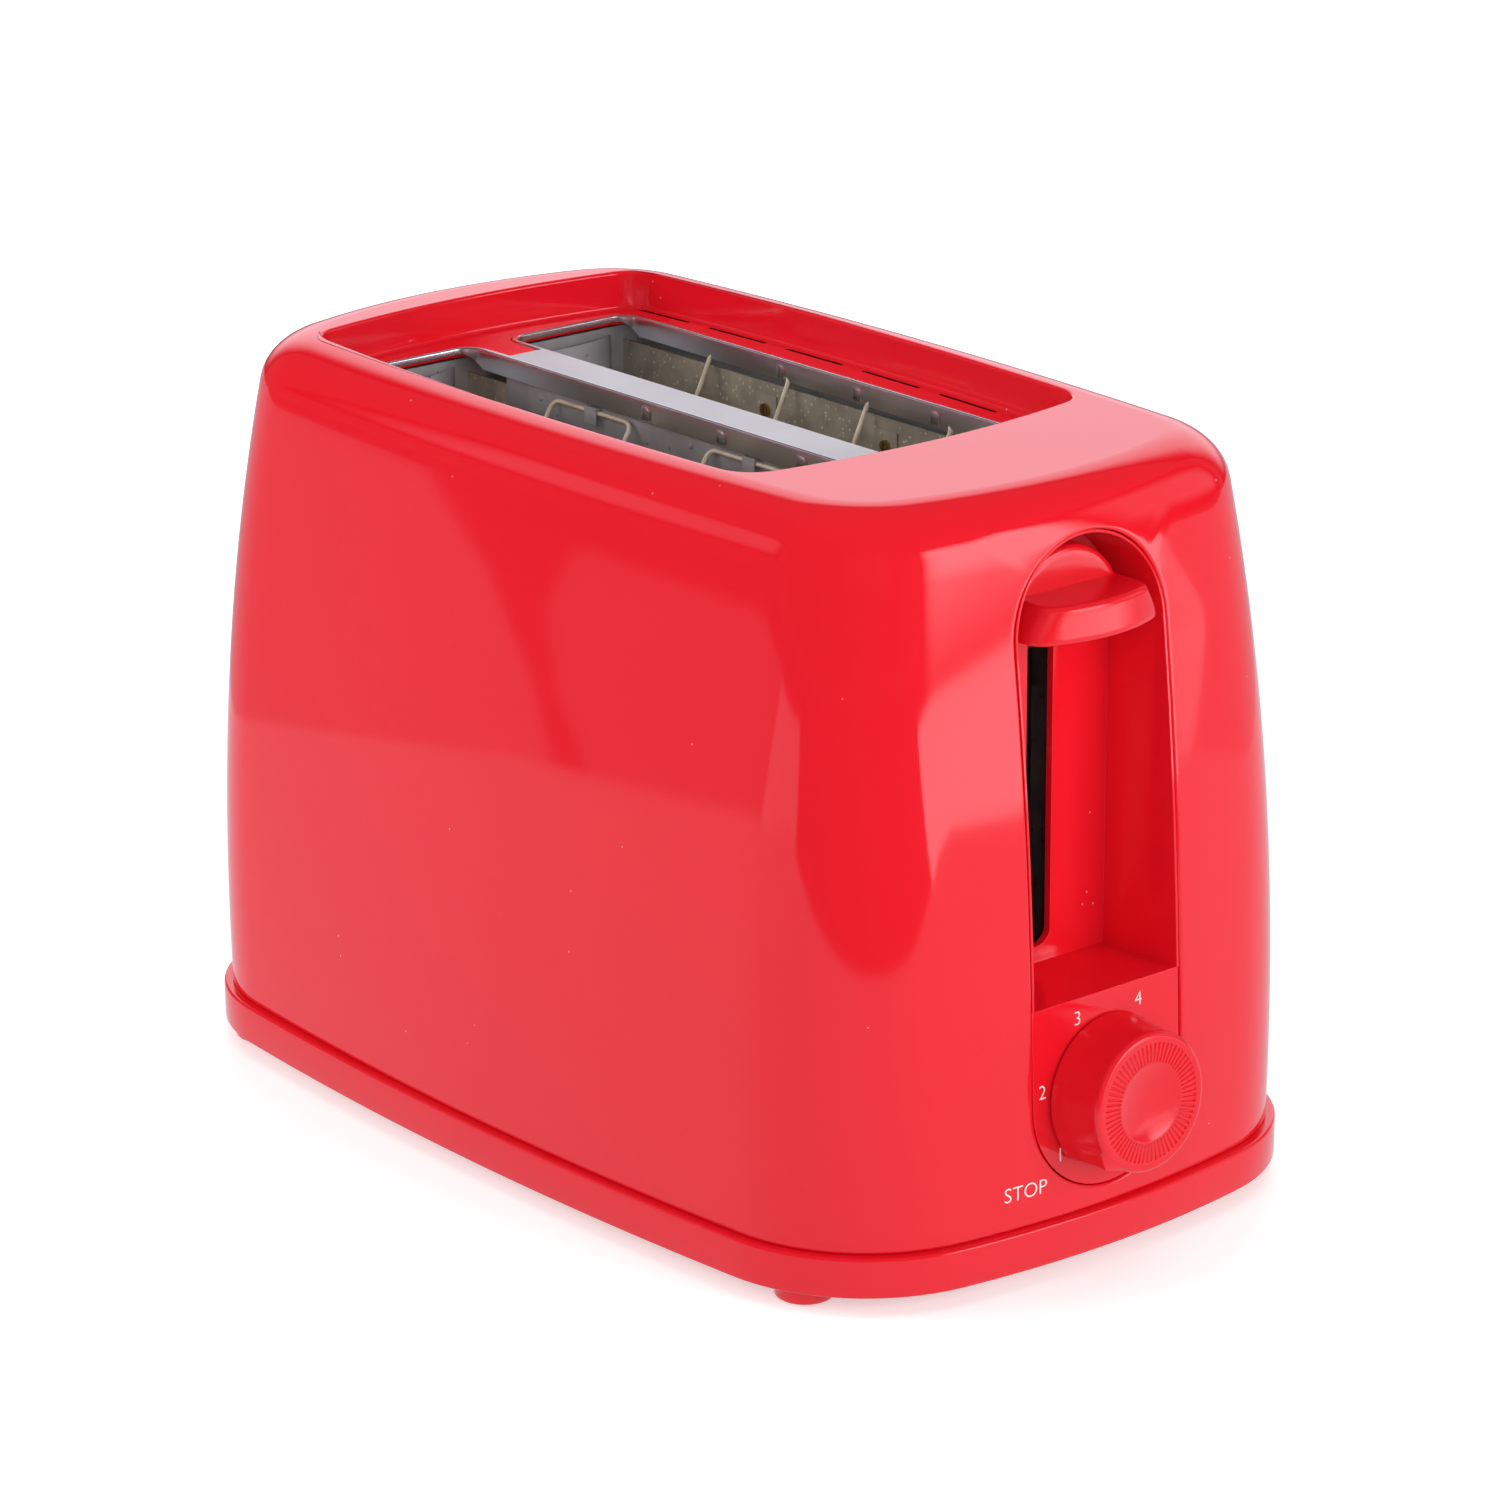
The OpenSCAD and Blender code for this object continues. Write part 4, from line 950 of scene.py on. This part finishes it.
def paddleRing(half, front, z):
    # back corners, sides, round corners and a bowed front
    r, bulge = handle["cornerR"], handle["bulge"] * (half / handle["half"]) ** 2
    bow = (half * half + bulge * bulge) / (2 * bulge)
    cx = front - bow
    cornerY = half - r
    cornerX = cx + sqrt((bow - r) ** 2 - cornerY ** 2)
    turn = atan2(cornerY, cornerX - cx)
    side = [Vector((handle["back"] + (cornerX - handle["back"]) * i / 6, half)) for i in range(6)]
    side += [Vector((cornerX + r * cos(pi / 2 + (turn - pi / 2) * i / 8),
        cornerY + r * sin(pi / 2 + (turn - pi / 2) * i / 8)))
        for i in range(9)]
    side += [Vector((cx + bow * cos(turn * (1 - i / 10)), bow * sin(turn * (1 - i / 10))))
        for i in range(1, 11)]
    points = side + [Vector((p.x, -p.y)) for p in reversed(side[:-1])]
    return [Vector((p.x, p.y, z)) for p in points]


def makeHandle():
    h = handle
    low, high, r = h["low"], h["low"] + h["height"], h["round"]
    bm = bmesh.new()
    small = 0.7 * mm
    rings = [paddleRing(h["half"] - small - 1.5 * mm, h["front"] - small - 1.5 * mm, low),
        paddleRing(h["half"] - small, h["front"] - small, low)]
    rings += [paddleRing(h["half"] - small * (1 - sin(t)), h["front"] - small * (1 - sin(t)),
        low + small * (1 - cos(t)))
        for t in [radians(30 * i) for i in range(1, 4)]]
    steps = 6
    topHalf, topFront = h["topHalf"] + r * 0.6, h["front"] - 0.6 * mm
    for i in range(1, steps + 1):
        u = i / steps
        curve = u ** 1.5
        rings.append(paddleRing(h["half"] + (topHalf - h["half"]) * curve,
            h["front"] + (topFront - h["front"]) * u, low + small + (high - r - low - small) * u))
    for t in [radians(18 * i) for i in range(1, 6)]:
        rings.append(paddleRing(topHalf - r * (1 - cos(t)), topFront - r * (1 - cos(t)),
            high - r + r * sin(t)))
    rings.append(paddleRing(topHalf - r - 0.8 * mm, topFront - r - 0.8 * mm, high))
    edges = numberedRing(bm, rings[0])
    bmesh.ops.contextual_create(bm, geom=edges)
    for ring in rings[1:]:
        edges = drawRing(bm, edges, ring)
    bmesh.ops.contextual_create(bm, geom=edges)

    # the dome behind the paddle, rounded at its front edge
    R, back = h["domeR"], h["back"]
    count = 40
    edge = 1.4 * mm
    profile = [(R, back), (R, back + h["domeFront"] - edge)]
    profile += [(R - edge * (1 - cos(t)), back + h["domeFront"] - edge + edge * sin(t))
        for t in [radians(22.5 * i) for i in range(1, 5)]]
    profile += [(R - edge - 1 * mm, back + h["domeFront"]), (R * 0.5, back + h["domeFront"])]
    dome = None
    for radius, x in profile:
        ring = [Vector((x, radius * cos(pi * i / count), low + 0.6 * mm + radius * sin(pi * i / count)))
            for i in range(count + 1)]
        if dome is None:
            dome = numberedRing(bm, ring)
            bmesh.ops.contextual_create(bm, geom=dome)
        else:
            dome = drawRing(bm, dome, ring)
    bmesh.ops.contextual_create(bm, geom=dome)

    # the tongue that goes through the lever slot
    addBlock(bm, panelLow.x - midX - 4 * mm, back + 1 * mm, -3 * mm, -1.1 * mm, low + 1 * mm, low + 10 * mm,
        0.3 * mm)
    addBlock(bm, panelLow.x - midX - 4 * mm, back + 1 * mm, 1.1 * mm, 3 * mm, low + 1 * mm, low + 10 * mm,
        0.3 * mm)
    makePiece(bm, "leverPaddle", redSatin, body="lift", sharp=40, stands=["lever_handle"],
        weld=False)


makeHandle()
print("lever made")

dialJoint = [j for j in frame["joints"] if j["name"] == "dial_turn"][0]
dialPlace = Vector(dialJoint["pos_m"])
dialOut = Vector([-c for c in dialJoint["axis"]]).normalized()
dialRight = Vector((0, 1, 0))
dialUp = dialOut.cross(dialRight).normalized()
knob = {
    "r": 16.9 * mm,
    "flare": 1.4 * mm,
    "length": 14.5 * mm,
    "gap": 0.4 * mm,
    "rim": 1.3 * mm,
    "ribs": 64,
    "ribZone": (9.9 * mm, 14.3 * mm),
    "ribDepth": 0.32 * mm,
    "dishR": 9.2 * mm,
    "dishDepth": 1.5 * mm,
    "pointerTurn": -134,
    "pointerHalf": 15,
    "pointerRise": 2.0 * mm,
}


def dialPoint(angle, r, out):
    # angle is from straight up, clockwise as seen from the front
    a = radians(angle)
    return dialPlace + dialUp * (r * cos(a)) + dialRight * (r * sin(a)) + dialOut * out


def pointerBump(angle, height):
    away = abs((angle - knob["pointerTurn"] + 180) % 360 - 180)
    return max(0.0, 1 - away / knob["pointerHalf"]) ** 0.9 * height


def makeKnob():
    k = knob
    count = k["ribs"] * 6
    face = k["gap"] + k["length"]
    angles = [360 * i / count for i in range(count)]
    inner, outer = k["ribZone"]

    def ring(r, out, bump=0.0, groove=0.0):
        points = []
        for i, angle in enumerate(angles):
            drop = groove if i % 6 in (0, 1) else 0.0
            points.append(dialPoint(angle, r + pointerBump(angle, bump), out - drop))
        return points

    rings = [ring(4 * mm, k["gap"] + 1.5 * mm), ring(k["r"] + k["flare"] - 1.2 * mm, k["gap"] + 1.5 * mm),
        ring(k["r"] + k["flare"] - 1.0 * mm, k["gap"]), ring(k["r"] + k["flare"] - 0.3 * mm, k["gap"])]
    side = 9
    for i in range(side + 1):
        u = i / side
        rings.append(ring(k["r"] + k["flare"] * (1 - u) ** 1.6,
            k["gap"] + 0.3 * mm + (k["length"] - k["rim"] - 0.3 * mm) * u,
            k["pointerRise"] * (0.45 + 0.55 * u) if u < 0.97 else k["pointerRise"]))
    for t in [radians(18 * i) for i in range(1, 6)]:
        rings.append(ring(k["r"] - k["rim"] * (1 - cos(t)), face - k["rim"] + k["rim"] * sin(t),
            k["pointerRise"] * (1 - sin(t)) ** 2))
    rings += [ring(outer + 0.5 * mm, face - 0.02 * mm), ring(outer + 0.15 * mm, face - 0.1 * mm),
        ring(outer, face - 0.12 * mm, groove=k["ribDepth"]),
        ring(inner, face - 0.12 * mm, groove=k["ribDepth"] * 0.9),
        ring(inner - 0.15 * mm, face - 0.12 * mm), ring(k["dishR"] + 0.2 * mm, face - 0.1 * mm)]
    for i in range(9):
        u = 1 - i / 9
        rings.append(ring(k["dishR"] * u, face - 0.2 * mm - k["dishDepth"] * (1 - u * u)))
    bm = bmesh.new()
    edges = numberedRing(bm, rings[0])
    for points in rings[1:]:
        edges = drawRing(bm, edges, points)
    bmesh.ops.pointmerge(bm, verts=ringVerts(edges), merge_co=dialPoint(0, 0,
        face - 0.2 * mm - k["dishDepth"]))
    makePiece(bm, "browningKnob", redSatin, body="dial", sharp=42, stands=["browning_knob"],
        shift=False)


marks = {
    "size": 4.9 * mm,
    "places": (("1", -130, 19.7), ("2", -79, 20.7), ("3", -25, 21.2), ("4", 28, 21.9), ("5", 80, 20.7),
    ("6", 132, 19.7)),
    "word": "STOP",
    "wordSize": 5.2 * mm,
    "wordPlace": (-25.6 * mm, 21.4 * mm),
    "raise": 0.05 * mm,
}


def textMesh(words, size):
    curve = bpy.data.curves.new("text", "FONT")
    curve.body = words
    curve.size = size
    curve.extrude = 0.03 * mm
    curve.offset = -0.06 * mm
    curve.align_x = "CENTER"
    curve.resolution_u = 4
    holder = bpy.data.objects.new("text", curve)
    bpy.context.scene.collection.objects.link(holder)
    bpy.context.view_layer.update()
    mesh = bpy.data.meshes.new_from_object(holder.evaluated_get(bpy.context.evaluated_depsgraph_get()))
    bpy.data.objects.remove(holder)
    return mesh


def placeText(name, mesh, placeAt, body="shell"):
    for vert in mesh.vertices:
        vert.co = placeAt(vert.co.x, vert.co.y, vert.co.z)
    mesh.materials.clear()
    mesh.materials.append(whiteInk)
    piece = bpy.data.objects.new(name, mesh)
    bpy.context.scene.collection.objects.link(piece)
    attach(piece, body)
    return piece


def makeMarks():
    for digit, angle, radius in marks["places"]:
        middle = dialPoint(angle, radius * mm, marks["raise"])
        placeText("mark" + digit, textMesh(digit, marks["size"]), lambda x, y, z: middle + dialRight * x
            + dialUp * (y - marks["size"] * 0.34) + dialOut * z)
    wordY, wordZ = marks["wordPlace"]
    placeText("stopMark", textMesh(marks["word"], marks["wordSize"]), lambda x, y, z:
        Vector((endSurface(wordY + x, wordZ + y) + midX + marks["raise"] + z, wordY + x, wordZ + y)))


makeKnob()
makeMarks()
print("knob and marks made")

finishes = (
    (sheetSteel, ["front_plate", "rear_plate", "heat_shield_near", "heat_shield_far", "top_bracket",
        "carriage", "bread_rack_near", "bread_rack_far", "crumb_tray"]),
    (micaBoard, ["mica_outer_near", "mica_inner_near", "mica_inner_far", "mica_outer_far"]),
    (ribbonMetal, ["ribbon_outer_near", "ribbon_inner_near", "ribbon_inner_far", "ribbon_outer_far"]),
    (brassMetal, ["mica_eyelets", "switch_leaves"]),
    (plainSteel, ["guide_rod", "return_spring", "keeper_plate", "magnet_yoke", "dial_shaft", "base_screws",
        "board_screws"]),
    (copperCoil, ["magnet_coil"]),
    (greenBoard, ["circuit_board"]),
    (blackPlastic, ["board_parts", "dial_pot", "switch_block"]),
    (blackRubber, ["cord_gland"]),
)


def dressNodes():
    dressed = set()
    for material, names in finishes:
        for name in names:
            mesh = cadNodes[name].data
            mesh.materials.clear()
            mesh.materials.append(material)
            dressed.add(name)
    for name, node in cadNodes.items():
        if node.data.materials and not node.hide_render and name not in dressed:
            node.data.materials.clear()
            node.data.materials.append(redGloss)


dressNodes()
print("packed pieces dressed")

camera = {
    "place": Vector((1015.4, -842.2, 534.5)) * mm,
    "aim": Vector((0, 0, 92.5)) * mm,
    "roll": -0.346,
    "lens": 135.39,
    "shift": (0.01263, -0.00658),
}


def makeCamera():
    data = bpy.data.cameras.new("camera")
    data.lens = camera["lens"]
    data.sensor_width = 36
    data.shift_x, data.shift_y = camera["shift"]
    data.clip_end = 20
    eye = bpy.data.objects.new("camera", data)
    bpy.context.scene.collection.objects.link(eye)
    away = camera["place"] - camera["aim"]
    turn = away.to_track_quat("Z", "Y").to_matrix().to_4x4()
    shift = Matrix.Translation(camera["place"] + Vector((midX, 0, 0)))
    eye.matrix_world = shift @ turn @ Matrix.Rotation(radians(camera["roll"]), 4, "Z")
    bpy.context.scene.camera = eye


def makeLight(name, place, aim, size, power, colour=(1, 1, 1)):
    data = bpy.data.lights.new(name, "AREA")
    data.shape = "RECTANGLE"
    data.size, data.size_y = size
    data.energy = power
    data.color = colour
    lamp = bpy.data.objects.new(name, data)
    bpy.context.scene.collection.objects.link(lamp)
    lamp.location = place
    lamp.rotation_euler = (Vector(place) - Vector(aim)).to_track_quat("Z", "Y").to_euler()
    return lamp


studio = {
    "room": (0.30, 0.12),                     # on matt and on glossy surfaces
    "floorLift": 0.45,                        # light of its own, so that the floor stays white in the view
    "lights": (
        ("leftSoftbox", (-1.3, -1.5, 0.8), (0, 0, 0.1), (1.3, 1.1), 20),
        ("topSoftbox", (-0.4, 0.3, 2.1), (0, 0, 0.1), (2.6, 2.6), 22),
        ("frontSoftbox", (1.9, 0.6, 0.6), (0, 0, 0.1), (1.0, 1.0), 19),
        ("nearSoftbox", (1.5, -1.2, 0.8), (0, 0, 0.1), (1.2, 1.0), 12),
        ("rearSoftbox", (-1.6, 1.5, 0.9), (0, 0, 0.1), (1.2, 1.0), 14),
    ),
    # paper cards around the object, which only the gloss sees: light, height over the floor in
    # millimetres, corners in metres
    "cards": (
        (0.10, 0.05, ((-5, -5), (5, -5), (5, 5), (-5, 5))),
        (0.50, 0.10, ((-0.36, -0.1), (-0.34, -0.42), (-0.58, -0.61), (-1.06, -0.95), (-1.9, -1.46),
            (-2.4, 0.4), (-0.36, 0.4))),
        (0.40, 0.10, ((-0.30, -0.42), (-0.56, -0.62), (-0.92, -0.93), (-1.5, -1.52), (-0.7, -2.2),
            (0.1, -1.6), (0.1, -0.70), (-0.1, -0.55))),
        (1.00, 0.12, ((-0.22, -0.55), (-0.34, -0.95), (-0.55, -1.9), (0.06, -1.9), (0.09, -0.85),
            (0.05, -0.6))),
        (3.20, 0.10, ((0.60, 0.05), (0.40, 0.42), (0.60, 0.95), (1.3, 1.7), (2.2, 1.2), (1.75, 0.0))),
        (0.60, 0.10, ((-0.6, 0.45), (0.55, 0.45), (1.3, 1.8), (-1.6, 1.8))),
        (0.80, 0.15, ((-0.43, 0.5), (-0.43, -0.17), (-0.39, -0.43), (0.02, -0.80), (0.24, -0.46),
            (0.47, -0.09), (0.72, 0.16), (0.42, 0.5))),
    ),
    # standing cards with soft edges: light, middle, width, height, turned about z
    "panels": (
        (4.2, (1.65, 0.72, 0.62), 1.3, 1.4, 24),
        (1.4, (-1.35, 1.35, 0.95), 3.4, 2.1, 135),
        (0.6, (-1.5, -1.55, 0.9), 1.3, 1.1, 225),
        (0.7, (0.9, 1.7, 0.8), 1.5, 1.5, 62),
    ),
    "cardColour": (0.96, 0.97, 1.06, 1),
}


def makeCard(mesh, name, light, fade):
    # a lamp of paper that stands in the gloss alone, so it neither lights nor shades anything
    paper = bpy.data.materials.new(name)
    paper.use_nodes = True
    tree = paper.node_tree
    shader = tree.nodes["Principled BSDF"]
    shader.inputs["Base Color"].default_value = (0, 0, 0, 1)
    shader.inputs["Specular IOR Level"].default_value = 0
    shader.inputs["Emission Color"].default_value = studio["cardColour"]
    shader.inputs["Emission Strength"].default_value = light
    if fade:
        place = addNode(tree, "ShaderNodeTexCoord")
        parts = addNode(tree, "ShaderNodeSeparateXYZ", {"Vector": place.outputs["Object"]})
        strength = light
        for axis in "XY":
            off = addNode(tree, "ShaderNodeMath", {0: parts.outputs[axis]}, operation="ABSOLUTE")
            edge = addNode(tree, "ShaderNodeMapRange", {"Value": off.outputs[0], "From Min": 0.5,
                "From Max": 0.5 - fade}, interpolation_type="SMOOTHSTEP")
            strength = addNode(tree, "ShaderNodeMath", {0: edge.outputs["Result"], 1: strength},
                operation="MULTIPLY").outputs[0]
        tree.links.new(strength, shader.inputs["Emission Strength"])
    paper.cycles.emission_sampling = "NONE"
    mesh.materials.append(paper)
    card = bpy.data.objects.new(name, mesh)
    bpy.context.scene.collection.objects.link(card)
    card.visible_camera = False
    card.visible_diffuse = False
    card.visible_shadow = False
    card.visible_transmission = False
    return card


def makeFloor():
    bm = bmesh.new()
    bmesh.ops.create_grid(bm, x_segments=2, y_segments=2, size=6)
    bmesh.ops.translate(bm, vec=(0, 0, -0.5 * mm), verts=bm.verts)
    mesh = bpy.data.meshes.new("floor")
    bm.to_mesh(mesh)
    bm.free()
    floor = bpy.data.objects.new("floor", mesh)
    bpy.context.scene.collection.objects.link(floor)
    pale = bpy.data.materials.new("paleFloor")
    pale.use_nodes = True
    tree = pale.node_tree
    shader = tree.nodes["Principled BSDF"]
    shader.inputs["Base Color"].default_value = (0.86, 0.86, 0.86, 1)
    shader.inputs["Roughness"].default_value = 0.9
    shader.inputs["Emission Color"].default_value = (1, 1, 1, 1)
    rays = tree.nodes.new("ShaderNodeLightPath")
    lift = addNode(tree, "ShaderNodeMath", {0: rays.outputs["Is Camera Ray"], 1: studio["floorLift"]},
        operation="MULTIPLY")
    tree.links.new(lift.outputs[0], shader.inputs["Emission Strength"])
    mesh.materials.append(pale)


def makeStudio():
    makeFloor()
    for i, (light, height, corners) in enumerate(studio["cards"]):
        bm = bmesh.new()
        verts = [bm.verts.new((x, y, -0.5 * mm + height * mm)) for x, y in corners]
        bmesh.ops.contextual_create(bm, geom=verts)
        mesh = bpy.data.meshes.new("card" + str(i))
        bm.to_mesh(mesh)
        bm.free()
        makeCard(mesh, "card" + str(i), light, 0)
    for i, (light, middle, width, height, turn) in enumerate(studio["panels"]):
        bm = bmesh.new()
        bmesh.ops.create_grid(bm, x_segments=1, y_segments=1, size=0.5)
        mesh = bpy.data.meshes.new("panel" + str(i))
        bm.to_mesh(mesh)
        bm.free()
        panelCard = makeCard(mesh, "panel" + str(i), light, 0.28)
        panelCard.scale = (height, width, 1)
        panelCard.rotation_euler = (0, radians(90), radians(turn))
        panelCard.location = middle
    world = bpy.data.worlds.new("room")
    world.use_nodes = True
    tree = world.node_tree
    rays = tree.nodes.new("ShaderNodeLightPath")
    matt, glossy = studio["room"]
    inside = addNode(tree, "ShaderNodeMapRange", {"Value": rays.outputs["Is Glossy Ray"], "To Min": matt,
        "To Max": glossy})
    seen = addNode(tree, "ShaderNodeMix", {"Factor": rays.outputs["Is Camera Ray"]}, data_type="FLOAT")
    tree.links.new(inside.outputs["Result"], seen.inputs[2])
    seen.inputs[3].default_value = 1.0
    tree.nodes["Background"].inputs["Color"].default_value = (1, 1, 1, 1)
    tree.links.new(seen.outputs[0], tree.nodes["Background"].inputs["Strength"])
    bpy.context.scene.world = world
    for light in studio["lights"]:
        makeLight(*light).visible_glossy = False


makeCamera()
makeStudio()
bpy.context.scene.view_settings.view_transform = "Standard"
